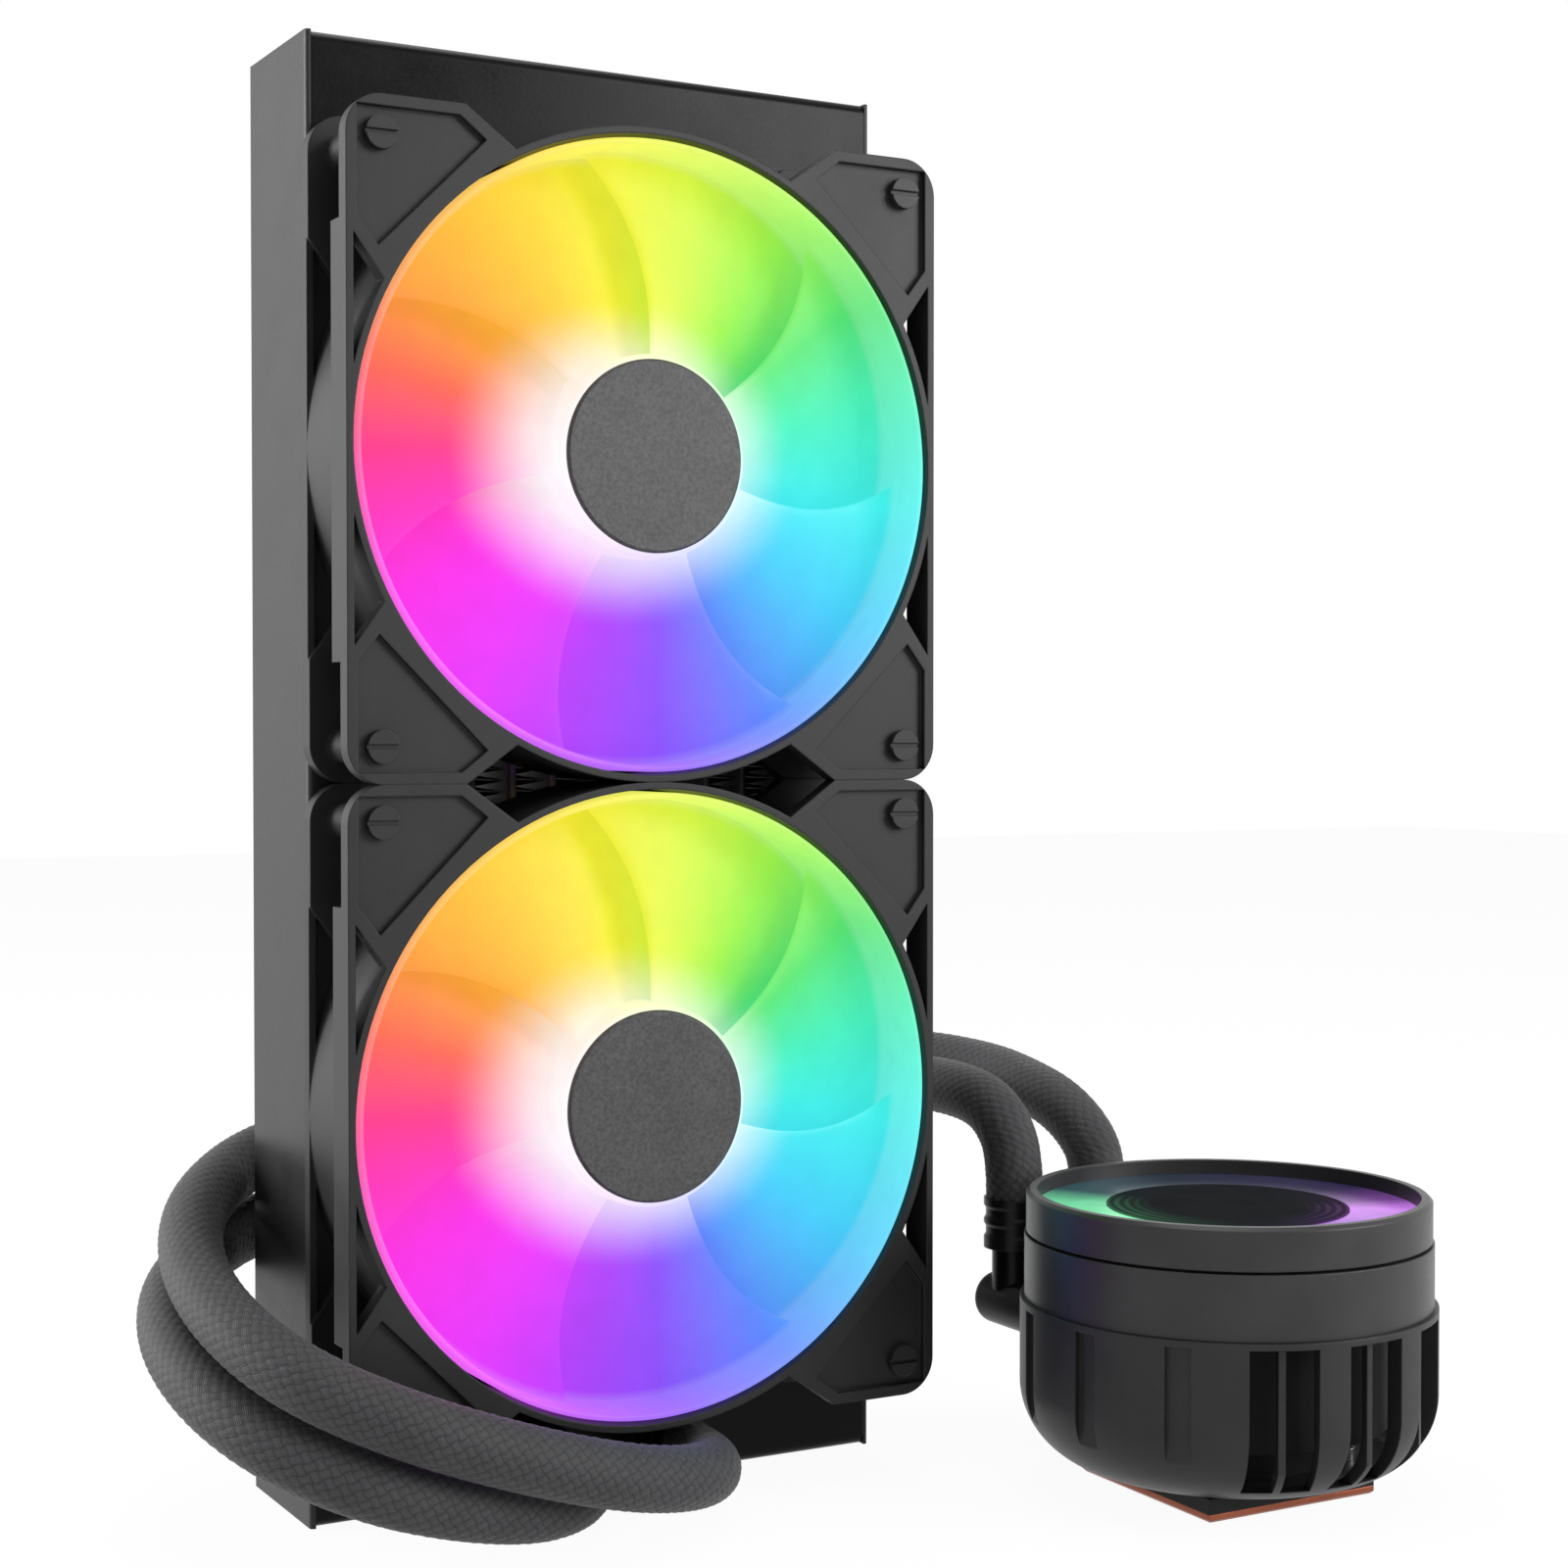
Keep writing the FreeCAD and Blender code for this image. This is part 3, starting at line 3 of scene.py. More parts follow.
import bmesh
import bpy
import numpy as np
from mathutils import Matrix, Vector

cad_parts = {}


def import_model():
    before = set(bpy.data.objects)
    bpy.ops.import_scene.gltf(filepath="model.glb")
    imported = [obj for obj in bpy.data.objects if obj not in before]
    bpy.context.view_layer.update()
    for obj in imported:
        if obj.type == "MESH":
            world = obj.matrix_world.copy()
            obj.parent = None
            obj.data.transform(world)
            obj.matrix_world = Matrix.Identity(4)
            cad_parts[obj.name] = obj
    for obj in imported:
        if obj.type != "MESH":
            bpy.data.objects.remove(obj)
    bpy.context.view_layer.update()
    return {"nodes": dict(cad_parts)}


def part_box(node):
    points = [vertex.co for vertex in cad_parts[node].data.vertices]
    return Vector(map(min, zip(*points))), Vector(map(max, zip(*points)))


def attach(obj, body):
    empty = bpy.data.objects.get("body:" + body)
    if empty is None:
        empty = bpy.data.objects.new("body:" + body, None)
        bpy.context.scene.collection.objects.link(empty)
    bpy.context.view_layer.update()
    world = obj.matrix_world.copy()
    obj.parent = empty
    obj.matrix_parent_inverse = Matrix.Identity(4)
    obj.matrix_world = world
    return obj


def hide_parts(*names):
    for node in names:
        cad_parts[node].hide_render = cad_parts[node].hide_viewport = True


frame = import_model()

# Liquid cooler: a radiator with two lit fans, two sleeved hoses and a round pump block. Metres, +Z up,
# the fans face -Y, the origin is the middle of the radiator's foot.

MM = 0.001
FAN_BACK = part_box("fan_frame_upper")[1].y
FAN_CENTRES = {which: float(sum(corner.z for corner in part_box(f"fan_frame_{which}")) / 2)
               for which in ("upper", "lower")}
CAP_LOW, CAP_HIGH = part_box("cap_cup")
CAP_AXIS = (float((CAP_LOW.x + CAP_HIGH.x) / 2), float((CAP_LOW.y + CAP_HIGH.y) / 2), 0.0)

# The hoses' routes in mm, from the radiator's lower tank to the pump block's elbows.
ROUTE_ONE = [
    (13, -34, 9.5), (13, -43.5, 9.5), (8.5, -54.5, 10.4), (-3, -63.5, 12.6), (-19, -69, 16.5),
    (-41, -70, 23.3), (-65, -66, 32.2), (-84.5, -53, 41.6), (-92.6, -31, 50.4), (-92, -7, 58.6),
    (-82.5, 16.5, 66.3), (-61, 38, 72.8), (-22, 50, 77), (25, 54, 80), (68, 59, 82.5),
    (102, 60, 83.2), (123.5, 45, 82.6), (130.5, 22, 81.2), (130.7, 5, 79), (130.2, -10.5, 76),
    (130, -21.5, 70.5), (130, -27, 64), (130, -27, 57),
]
ROUTE_TWO = [
    (-17, -34, 9.5), (-17, -43.5, 9.5), (-22, -53, 9.2), (-33.5, -58.5, 9.2), (-51, -61.5, 13),
    (-70.5, -60.5, 19.2), (-87.5, -50.5, 27.4), (-96.5, -31.5, 35.5), (-97, -8, 43.3), (-87.5, 15, 50.2),
    (-65, 34, 56.7), (-24, 41, 62), (22, 43, 68), (62, 44, 73), (89, 39, 77),
    (103.5, 22, 79.8), (105.5, 3, 80.4), (105.5, -12.8, 79.2), (105.5, -21.8, 74.8),
    (105.5, -27, 66.8), (105.5, -27, 57),
]

# The hoses' braided sleeve: how many strands go round, mesh steps and yarn threads to a strand, how much
# longer than wide a crossing is, the braid's rise, the share of it that stands within the diameter, and the
# mesh's step along the hose.
HOSE_DIAMETER = 13.6 * MM
BRAID_STRANDS = 16
STRAND_STEPS = 6
STRAND_THREADS = 5
BRAID_SLANT = 1.05
STRAND_PITCH = math.pi * HOSE_DIAMETER / BRAID_STRANDS * BRAID_SLANT
BRAID_LIFT = 0.42 * MM
BRAID_MEAN = 0.72
BRAID_STEP = 0.6 * MM

# The camera: its place in metres, and its degrees up from level and round from looking along +Y.
CAMERA_PLACE = (-0.2515, -0.550, 0.1693)
CAMERA_TILT = -1.14
CAMERA_TURN = -29.27
LENS, SENSOR = 60.12, 36.0

# Each lamp's place, the point it is turned to, its size in metres and its power in watts.
LAMPS = {
    "lamp_left": ((-1.3, 0.8, 0.5), (-0.05, 0, 0.12), 0.9, 32),
    "lamp_right": ((0.95, -1.1, 0.6), (0.1, -0.05, 0.1), 0.8, 20),
    "lamp_top": ((0.0, 0.1, 1.7), (0.0, -0.05, 0.1), 1.2, 14),
}

# The world's light on the object, the floor's reach to each side, and its share of plain white where it
# is seen.
AMBIENT = 0.4
FLOOR_REACH = 3.0
FLOOR_WHITE = 0.95


# Camera, light and floor

def camera():
    """A camera at the photograph's place and angle, which becomes the scene's camera."""
    data = bpy.data.cameras.new("camera")
    data.sensor_width = SENSOR
    data.lens = LENS
    item = bpy.data.objects.new("camera", data)
    item.location = CAMERA_PLACE
    item.rotation_euler = (math.radians(90 + CAMERA_TILT), 0.0, math.radians(CAMERA_TURN))
    bpy.context.scene.collection.objects.link(item)
    bpy.context.scene.camera = item


def softbox(name, place, aim, size, power):
    """A square area lamp turned from its place towards a point, out of the camera's sight."""
    data = bpy.data.lights.new(name, "AREA")
    data.shape = "SQUARE"
    data.size = size
    data.energy = power
    item = bpy.data.objects.new(name, data)
    item.location = place
    away = np.subtract(place, aim)
    across = math.hypot(away[0], away[1])
    item.rotation_euler = (math.atan2(across, away[2]), 0.0, math.atan2(away[0], -away[1]))
    item.visible_camera = False
    bpy.context.scene.collection.objects.link(item)


def add(tree, kind, inputs=None, **settings):
    """A node with its settings and its inputs, each a value or another node's socket."""
    item = tree.nodes.new(kind)
    for name, value in settings.items():
        setattr(item, name, value)
    for key, value in (inputs or {}).items():
        if isinstance(value, bpy.types.NodeSocket):
            tree.links.new(value, item.inputs[key])
        else:
            item.inputs[key].default_value = value
    return item


def calc(tree, operation, *values):
    """What one Math node makes of numbers or other nodes' sockets."""
    return add(tree, "ShaderNodeMath", dict(enumerate(values)), operation=operation).outputs[0]


def seen_directly(tree):
    """One for camera, glossy and transmission rays, which see the white background."""
    path = add(tree, "ShaderNodeLightPath")
    either = calc(tree, "MAXIMUM", path.outputs["Is Camera Ray"], path.outputs["Is Glossy Ray"])
    return calc(tree, "MAXIMUM", either, path.outputs["Is Transmission Ray"])


def world():
    """White where it is seen, and a dimmer even light on the object."""
    item = bpy.data.worlds.new("studio")
    item.use_nodes = True
    tree = item.node_tree
    background = tree.nodes["Background"]
    background.inputs["Color"].default_value = (1, 1, 1, 1)
    strength = calc(tree, "MULTIPLY_ADD", seen_directly(tree), 1 - AMBIENT, AMBIENT)
    tree.links.new(strength, background.inputs["Strength"])
    bpy.context.scene.world = item


def studio():
    """The world, the lamps and a square floor at the object's foot."""
    world()
    for name, lamp in LAMPS.items():
        softbox(name, *lamp)
    corners = [(x * FLOOR_REACH, y * FLOOR_REACH, 0) for x, y in ((-1, -1), (1, -1), (1, 1), (-1, 1))]
    mesh = bpy.data.meshes.new("floor")
    mesh.from_pydata(corners, [], [(0, 1, 2, 3)])
    floor = bpy.data.objects.new("floor", mesh)
    bpy.context.scene.collection.objects.link(floor)
    mesh.materials.append(floor_finish())


def floor_finish():
    """Matte white that keeps the object's shadow and fades into the white background."""
    item = bpy.data.materials.new("studio_floor")
    item.use_nodes = True
    tree = item.node_tree
    tree.nodes.clear()
    matte = add(tree, "ShaderNodeBsdfDiffuse", {"Color": (0.9, 0.9, 0.9, 1)})
    white = add(tree, "ShaderNodeEmission", {"Color": (1, 1, 1, 1), "Strength": 1.0})
    share = calc(tree, "MULTIPLY", seen_directly(tree), FLOOR_WHITE)
    mixed = add(tree, "ShaderNodeMixShader", {0: share, 1: matte.outputs[0], 2: white.outputs[0]})
    add(tree, "ShaderNodeOutputMaterial", {"Surface": mixed.outputs[0]})
    return item


# Meshes

def carried(sections, ring=False):
    """Quads between each closed section and the next. A ring joins its last section to its first. Any other
    body is closed by quads across each end, from each point to the one opposite."""
    rows, count = sections.shape[:2]
    index = np.arange(rows * count).reshape(rows, count)
    here = index if ring else index[:-1]
    there = np.roll(index, -1, 0) if ring else index[1:]
    quads = [np.stack([here, np.roll(here, -1, 1), np.roll(there, -1, 1), there], -1).reshape(-1, 4)]
    if not ring:
        step = np.arange(count // 2 - 1)
        for row, order in ((index[0], -1), (index[-1], 1)):
            across = np.stack([row[step], row[step + 1], row[count - 2 - step], row[count - 1 - step]], -1)
            quads.append(across[:, ::order])
    return sections.reshape(-1, 3), np.concatenate(quads)


def joined(parts):
    """Several (points, quads) as one."""
    starts = np.cumsum([0] + [len(points) for points, _ in parts[:-1]])
    points = np.concatenate([points for points, _ in parts])
    return points, np.concatenate([quads + start for (_, quads), start in zip(parts, starts)])


def piece(name, shape, finish, body, stands_for, corner_uv=None, crease=40.0):
    """A mesh object of (points, quads) in the part's frame, dressed and set on its body, with the CAD nodes
    it stands for hidden.
    """
    points, quads = shape
    mesh = bpy.data.meshes.new(name)
    mesh.vertices.add(len(points))
    mesh.vertices.foreach_set("co", points.astype(np.float32).ravel())
    mesh.loops.add(quads.size)
    mesh.loops.foreach_set("vertex_index", quads.astype(np.int32).ravel())
    mesh.polygons.add(len(quads))
    mesh.polygons.foreach_set("loop_start", np.arange(0, quads.size, 4, dtype=np.int32))
    if corner_uv is not None:
        mesh.uv_layers.new(name="along").data.foreach_set("uv", corner_uv.astype(np.float32).ravel())
    mesh.update(calc_edges=True)
    outward(mesh)
    mesh.polygons.foreach_set("use_smooth", np.ones(len(mesh.polygons), bool))
    mesh.set_sharp_from_angle(angle=math.radians(crease))
    mesh.materials.append(finish)
    item = bpy.data.objects.new(name, mesh)
    bpy.context.scene.collection.objects.link(item)
    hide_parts(*stands_for)
    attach(item, body)
    return item


def outward(mesh):
    """Turns every face of closed shells outwards."""
    work = bmesh.new()
    work.from_mesh(mesh)
    bmesh.ops.recalc_face_normals(work, faces=work.faces)
    work.to_mesh(mesh)
    work.free()


# Hoses

def centre_line(route):
    """Points of the NURBS curve of order 3 that the route's points control."""
    curve = bpy.data.curves.new("route", "CURVE")
    curve.dimensions = "3D"
    spline = curve.splines.new("NURBS")
    spline.points.add(len(route) - 1)
    weighted = np.column_stack([np.array(route) * MM, np.ones(len(route))])
    spline.points.foreach_set("co", weighted.ravel())
    spline.order_u = 3
    spline.use_endpoint_u = True
    spline.resolution_u = 16
    item = bpy.data.objects.new("route", curve)
    bpy.context.scene.collection.objects.link(item)
    line = bpy.data.meshes.new_from_object(item.evaluated_get(bpy.context.evaluated_depsgraph_get()))
    points = np.empty(len(line.vertices) * 3)
    line.vertices.foreach_get("co", points)
    bpy.data.objects.remove(item)
    bpy.data.meshes.remove(line)
    return points.reshape(-1, 3)


def along(points, step):
    """The line's points at even steps of its length, with the length at each."""
    run = np.concatenate([[0.0], np.cumsum(np.linalg.norm(np.diff(points, axis=0), axis=1))])
    places = np.linspace(0.0, run[-1], int(run[-1] / step) + 1)
    return np.stack([np.interp(places, run, points[:, axis]) for axis in range(3)], 1), places


def unit(vectors):
    """Each vector divided by its length."""
    return vectors / np.linalg.norm(vectors, axis=-1, keepdims=True)


def braid_height(around, onward):
    """Height of a plain braid, from 0 to 1, at strand counts round and along it. Two families of strands
    cross. Each rises as a flattened arch across its width and goes over one strand and under the next, and
    the higher of the two shows."""

    def family(across, length, sign):
        arch = np.sqrt(np.clip(1 - np.abs(2 * (across % 1) - 1) ** 2.6, 0, 1))
        return arch * (0.62 + sign * 0.38 * np.cos(np.pi * (length - 0.5 + np.floor(across))))

    right, left = around + onward, around - onward
    return np.maximum(family(right, left, 1), family(left, right, -1))


def sleeved_hose(node, route, finish):
    """A round tube along the route's curve. Its radius is that of a plain core plus the braid's height, and
    its map gives the strand counts round it and along it."""
    line, places = along(centre_line(route), BRAID_STEP)
    tangent = unit(np.gradient(line, axis=0))
    aside = unit(np.cross(tangent, (1.0, 0.4, 1.0)))
    over = np.cross(aside, tangent)
    turn = np.concatenate([[0.0], np.cumsum(np.sum(over[:-1] * np.diff(aside, axis=0), axis=1))])
    count = BRAID_STRANDS * STRAND_STEPS
    share = np.arange(count) / count
    height = braid_height(share[None, :] * BRAID_STRANDS, places[:, None] / STRAND_PITCH)
    radius = HOSE_DIAMETER / 2 - BRAID_MEAN * BRAID_LIFT + BRAID_LIFT * height
    angle = 2 * math.pi * share[None, :] + turn[:, None]
    sections = line[:, None] + radius[..., None] * (np.cos(angle)[..., None] * aside[:, None]
                                                    + np.sin(angle)[..., None] * over[:, None])
    shape = carried(sections)
    rows = len(places) - 1
    u = (np.arange(count)[None, :, None] + np.array([0, 1, 1, 0])) / STRAND_STEPS + np.zeros((rows, 1, 1))
    v = np.stack([places[:-1], places[:-1], places[1:], places[1:]], 1)[:, None] / STRAND_PITCH
    v = v + np.zeros((1, count, 1))
    ends = np.zeros((2 * (count // 2 - 1), 4, 2))
    corner_uv = np.concatenate([np.stack([u, v], -1).reshape(-1, 4, 2), ends])
    item = piece(f"braided_{node}", shape, finish, "cooler", [node],
                 corner_uv.reshape(-1, 2), crease=70.0)


# Finishes

def begin(name):
    """A new material with its tree and its shader."""
    item = bpy.data.materials.new(name)
    item.use_nodes = True
    tree = item.node_tree
    return item, tree, tree.nodes["Principled BSDF"]


def place_of(tree):
    """The point's place in the part's frame."""
    return add(tree, "ShaderNodeTexCoord").outputs["Object"]


def noise(tree, place, size, detail=3.0, stretch=(1, 1, 1)):
    """Noise whose features are about one size across, drawn out along the axes by a stretch."""
    scale = tuple(1.0 / (size * part) for part in stretch)
    mapped = add(tree, "ShaderNodeMapping", {"Vector": place, "Scale": scale}).outputs[0]
    return add(tree, "ShaderNodeTexNoise", {"Vector": mapped, "Scale": 1.0, "Detail": detail}).outputs["Fac"]


def spread(tree, value, low, high, start=0.3, end=0.7):
    """The value's run from start to end, as a run from low to high."""
    return add(tree, "ShaderNodeMapRange", {"Value": value, "From Min": start, "From Max": end,
                                            "To Min": low, "To Max": high}).outputs[0]


def scaled(tree, colour, level):
    """A colour times a level."""
    return add(tree, "ShaderNodeVectorMath", {0: colour, "Scale": level}, operation="SCALE").outputs[0]


def toned(tree, colour, value, low, high):
    """One colour, darker and lighter with a value."""
    return scaled(tree, colour, spread(tree, value, low, high))


def bumped(tree, shader, height, distance, edge=0.0):
    """A bump on the shader's normal, over softened edges of a given radius."""
    inputs = {"Height": height, "Distance": distance}
    if edge:
        inputs["Normal"] = add(tree, "ShaderNodeBevel", {"Radius": edge}, samples=4).outputs[0]
    tree.links.new(add(tree, "ShaderNodeBump", inputs).outputs[0], shader.inputs["Normal"])


def moulded(name, colour, roughness, grain=0.35 * MM, rise=0.02 * MM, metallic=0.0, edge=0.35 * MM,
            shine=0.3, stretch=(1, 1, 1), tone=0.14):
    """A plain maker's finish: fine grain in the surface, slow changes of tone and gloss, softened edges."""
    item, tree, shader = begin(name)
    place = place_of(tree)
    slow = noise(tree, place, 14 * MM)
    fine = noise(tree, place, grain, stretch=stretch)
    tree.links.new(toned(tree, colour, slow, 1 - tone, 1 + tone), shader.inputs["Base Color"])
    mixed = calc(tree, "MULTIPLY_ADD", fine, 0.5, calc(tree, "MULTIPLY", slow, 0.5))
    tree.links.new(spread(tree, mixed, roughness - 0.06, roughness + 0.06), shader.inputs["Roughness"])
    shader.inputs["Metallic"].default_value = metallic
    shader.inputs["Specular IOR Level"].default_value = shine
    bumped(tree, shader, fine, rise, edge)
    return item


def sleeve_finish():
    """Dark grey braided yarn: fine threads along whichever strand lies on top, with painted shade darkening
    the gaps.
    """
    item, tree, shader = begin("braided_sleeve")
    uv = add(tree, "ShaderNodeSeparateXYZ", {0: add(tree, "ShaderNodeUVMap", uv_map="along").outputs[0]})
    right = calc(tree, "ADD", uv.outputs[0], uv.outputs[1])
    left = calc(tree, "SUBTRACT", uv.outputs[0], uv.outputs[1])
    crossings = calc(tree, "ADD", calc(tree, "FLOOR", right), calc(tree, "FLOOR", left))
    parity = calc(tree, "PINGPONG", crossings, 1.0)
    across = add(tree, "ShaderNodeMix", {0: parity, 2: right, 3: left}).outputs[0]
    thread = calc(tree, "SINE", calc(tree, "MULTIPLY", across, 2 * math.pi * STRAND_THREADS))
    middle = calc(tree, "PINGPONG", across, 0.5)
    place = place_of(tree)
    slow = noise(tree, place, 9 * MM)
    fuzz = noise(tree, place, 0.25 * MM, 4.0)
    # Painted shade: the yarn darkens towards each strand's edge, in the gaps between strands; threads and
    # fuzz vary it too.
    gap_shade_and_threads = calc(tree, "MULTIPLY", spread(tree, middle, 0.45, 1.1, 0.0, 0.3),
                 calc(tree, "MULTIPLY_ADD", thread, 0.1, spread(tree, fuzz, 0.75, 1.2)))
    level = calc(tree, "MULTIPLY", gap_shade_and_threads, spread(tree, slow, 0.9, 1.1))
    tree.links.new(scaled(tree, (0.034, 0.034, 0.0365), level), shader.inputs["Base Color"])
    shader.inputs["Roughness"].default_value = 0.62
    shader.inputs["Specular IOR Level"].default_value = 0.3
    shader.inputs["Sheen Weight"].default_value = 0.12
    shader.inputs["Sheen Roughness"].default_value = 0.4
    height = calc(tree, "MULTIPLY_ADD", thread, 0.5, calc(tree, "MULTIPLY", fuzz, 0.8))
    bumped(tree, shader, height, 0.05 * MM)
    return item


# The light runs round each rotor: angle from +X towards +Z in degrees, then the colour there.
LIGHT_STOPS = [
    (-180, (1.00, 0.05, 0.28)), (-168, (1.00, 0.04, 0.50)), (-150, (1.00, 0.035, 0.85)),
    (-128, (0.84, 0.045, 1.00)), (-105, (0.50, 0.06, 1.00)), (-84, (0.28, 0.09, 1.00)),
    (-60, (0.12, 0.26, 1.00)), (-34, (0.07, 0.62, 0.98)), (-6, (0.06, 0.88, 0.84)),
    (14, (0.07, 0.88, 0.52)), (34, (0.10, 0.78, 0.18)), (54, (0.34, 0.90, 0.08)),
    (78, (0.70, 0.92, 0.06)), (102, (0.92, 0.84, 0.035)), (124, (1.00, 0.60, 0.035)),
    (146, (1.00, 0.38, 0.05)), (164, (1.00, 0.15, 0.10)), (180, (1.00, 0.05, 0.28)),
]

# The white round the hub is an oval, wider than high, that reaches furthest to the left and fades outwards.
GLOW_CENTRE = (-3.1 * MM, 0.0, -1.2 * MM)
GLOW_FLATNESS = 1.19
GLOW_FADE = (14 * MM, 43 * MM)

# The tip ring is a little paler, and painted shade dims the glow towards the back of the blades.
RIM_WHITE = 0.09
RIM_FADE = (64.5 * MM, 66.2 * MM)
BACK_SHADE_LEVEL = 0.84
BACK_SHADE_FADE = (25 * MM, 7 * MM)
UNLIT_SHARE = 0.12


def colour_ramp(tree, value, stops):
    """A ramp of (place from 0 to 1, colour)."""
    ramp = add(tree, "ShaderNodeValToRGB", {0: value})
    elements = ramp.color_ramp.elements
    while len(elements) < len(stops):
        elements.new(0.5)
    for element, (spot, colour) in zip(elements, stops):
        element.position = spot
        element.color = (*colour, 1)
    return ramp.outputs[0]


def turn_of(tree, across, up):
    """The angle from the across axis towards the up axis, as 0 at minus half a turn to 1 at half a turn."""
    return calc(tree, "MULTIPLY_ADD", calc(tree, "ARCTAN2", up, across), 1 / (2 * math.pi), 0.5)


def radius_of(tree, across, up):
    """The root of the sum of the squares of both."""
    squares = calc(tree, "MULTIPLY", across, across), calc(tree, "MULTIPLY", up, up)
    return calc(tree, "SQRT", calc(tree, "ADD", *squares))


def rotor_finish(which):
    """Frosted plastic lit from the hub: the hue turns with the angle, white glows round the hub, and painted
    shade dims the back of the blades.
    """
    item, tree, shader = begin(f"lit_rotor_{which}")
    centre = FAN_CENTRES[which]
    place = add(tree, "ShaderNodeVectorMath", {0: place_of(tree), 1: (0, 0, centre)}, operation="SUBTRACT")
    x, y, z = add(tree, "ShaderNodeSeparateXYZ", {0: place.outputs[0]}).outputs
    hue = colour_ramp(tree, turn_of(tree, x, z),
                      [((degrees + 180) / 360, colour) for degrees, colour in LIGHT_STOPS])
    flat = add(tree, "ShaderNodeVectorMath", {0: place.outputs[0], 1: (1, 0, GLOW_FLATNESS)},
               operation="MULTIPLY")
    reach = add(tree, "ShaderNodeVectorMath", {0: flat.outputs[0], 1: GLOW_CENTRE}, operation="DISTANCE")
    near, far = GLOW_FADE
    fade = {"Value": reach.outputs["Value"], "From Min": near, "From Max": far, "To Min": 1.0, "To Max": 0.0}
    glow = add(tree, "ShaderNodeMapRange", fade, interpolation_type="SMOOTHSTEP")
    rim = spread(tree, radius_of(tree, x, z), 0.0, RIM_WHITE, *RIM_FADE)
    white = calc(tree, "MAXIMUM", glow.outputs[0], rim)
    lit = add(tree, "ShaderNodeMix", {0: white, 6: hue, 7: (1, 1, 1, 1)}, data_type="RGBA").outputs[2]
    # Painted shade: the emission dims towards the back of the blades, deeper inside the fan.
    painted_back_shade = spread(tree, y, 1.0, BACK_SHADE_LEVEL, *(FAN_BACK - height for height in BACK_SHADE_FADE))
    grain = noise(tree, place_of(tree), 6 * MM)
    level = calc(tree, "MULTIPLY", painted_back_shade, spread(tree, grain, 0.97, 1.03))
    tree.links.new(scaled(tree, lit, UNLIT_SHARE), shader.inputs["Base Color"])
    tree.links.new(scaled(tree, lit, level), shader.inputs["Emission Color"])
    shader.inputs["Emission Strength"].default_value = 0.92
    shader.inputs["Roughness"].default_value = 0.45
    shader.inputs["Specular IOR Level"].default_value = 0.15
    bumped(tree, shader, noise(tree, place_of(tree), 0.5 * MM), 0.01 * MM)
    return item


def hub_finish():
    """Satin grey metal-look disc with fine flecks and slow changes of tone."""
    item, tree, shader = begin("hub_satin")
    place = place_of(tree)
    fleck = noise(tree, place, 0.8 * MM, 2.0)
    slow = noise(tree, place, 8 * MM)
    tone = calc(tree, "MULTIPLY", spread(tree, fleck, 0.7, 1.3), spread(tree, slow, 0.92, 1.08))
    tree.links.new(scaled(tree, (0.05, 0.05, 0.0515), tone), shader.inputs["Base Color"])
    shader.inputs["Metallic"].default_value = 0.15
    shader.inputs["Roughness"].default_value = 0.48
    shader.inputs["Specular IOR Level"].default_value = 0.3
    bumped(tree, shader, fleck, 0.02 * MM, 0.3 * MM)
    return item


# The light runs round the cap: turn from -X through -Y, from 0 to 1, then the colour there.
CAP_STOPS = [
    (0.00, (0.22, 0.90, 0.42)), (0.10, (0.05, 0.30, 0.14)), (0.16, (0.02, 0.05, 0.06)),
    (0.22, (0.04, 0.02, 0.10)), (0.30, (0.35, 0.10, 0.60)), (0.40, (0.62, 0.20, 0.86)),
    (0.45, (0.16, 0.04, 0.26)), (0.52, (0.02, 0.01, 0.06)), (0.70, (0.004, 0.012, 0.03)),
    (0.83, (0.006, 0.06, 0.07)), (0.90, (0.16, 0.72, 0.36)), (1.00, (0.22, 0.90, 0.42)),
]

# Painted reflections of the light ring repeat across the mirror: radians to a metre of radius, and where they
# fade out.
REFLECTION_WAVES = 2800.0
REFLECTION_FADE = (17 * MM, 27 * MM)


def cap_light(tree):
    """The distance from the cap's axis and the light's colour there."""
    place = add(tree, "ShaderNodeVectorMath", {0: place_of(tree), 1: CAP_AXIS}, operation="SUBTRACT")
    x, y, _ = add(tree, "ShaderNodeSeparateXYZ", {0: place.outputs[0]}).outputs
    return radius_of(tree, x, y), colour_ramp(tree, turn_of(tree, x, y), CAP_STOPS)


def mirror_finish():
    """Dark glass: nearly black, with painted reflections of the light ring, given as emission, that fade
    towards the middle.
    """
    item, tree, shader = begin("dark_mirror")
    radius, lit = cap_light(tree)
    # Painted reflections: rings of the light ring's colour, emitted by the dark glass.
    wave = calc(tree, "COSINE", calc(tree, "MULTIPLY", radius, REFLECTION_WAVES))
    painted_reflections = calc(tree, "MULTIPLY_ADD", wave, 0.4, 0.6)
    faded_reflections = calc(tree, "MULTIPLY", painted_reflections, spread(tree, radius, 0.0, 0.3, *REFLECTION_FADE))
    tree.links.new(scaled(tree, lit, faded_reflections), shader.inputs["Emission Color"])
    shader.inputs["Emission Strength"].default_value = 0.5
    slow = noise(tree, place_of(tree), 9 * MM)
    tree.links.new(toned(tree, (0.016, 0.017, 0.019), slow, 0.9, 1.1), shader.inputs["Base Color"])
    shader.inputs["Roughness"].default_value = 0.12
    shader.inputs["Specular IOR Level"].default_value = 0.0
    return item


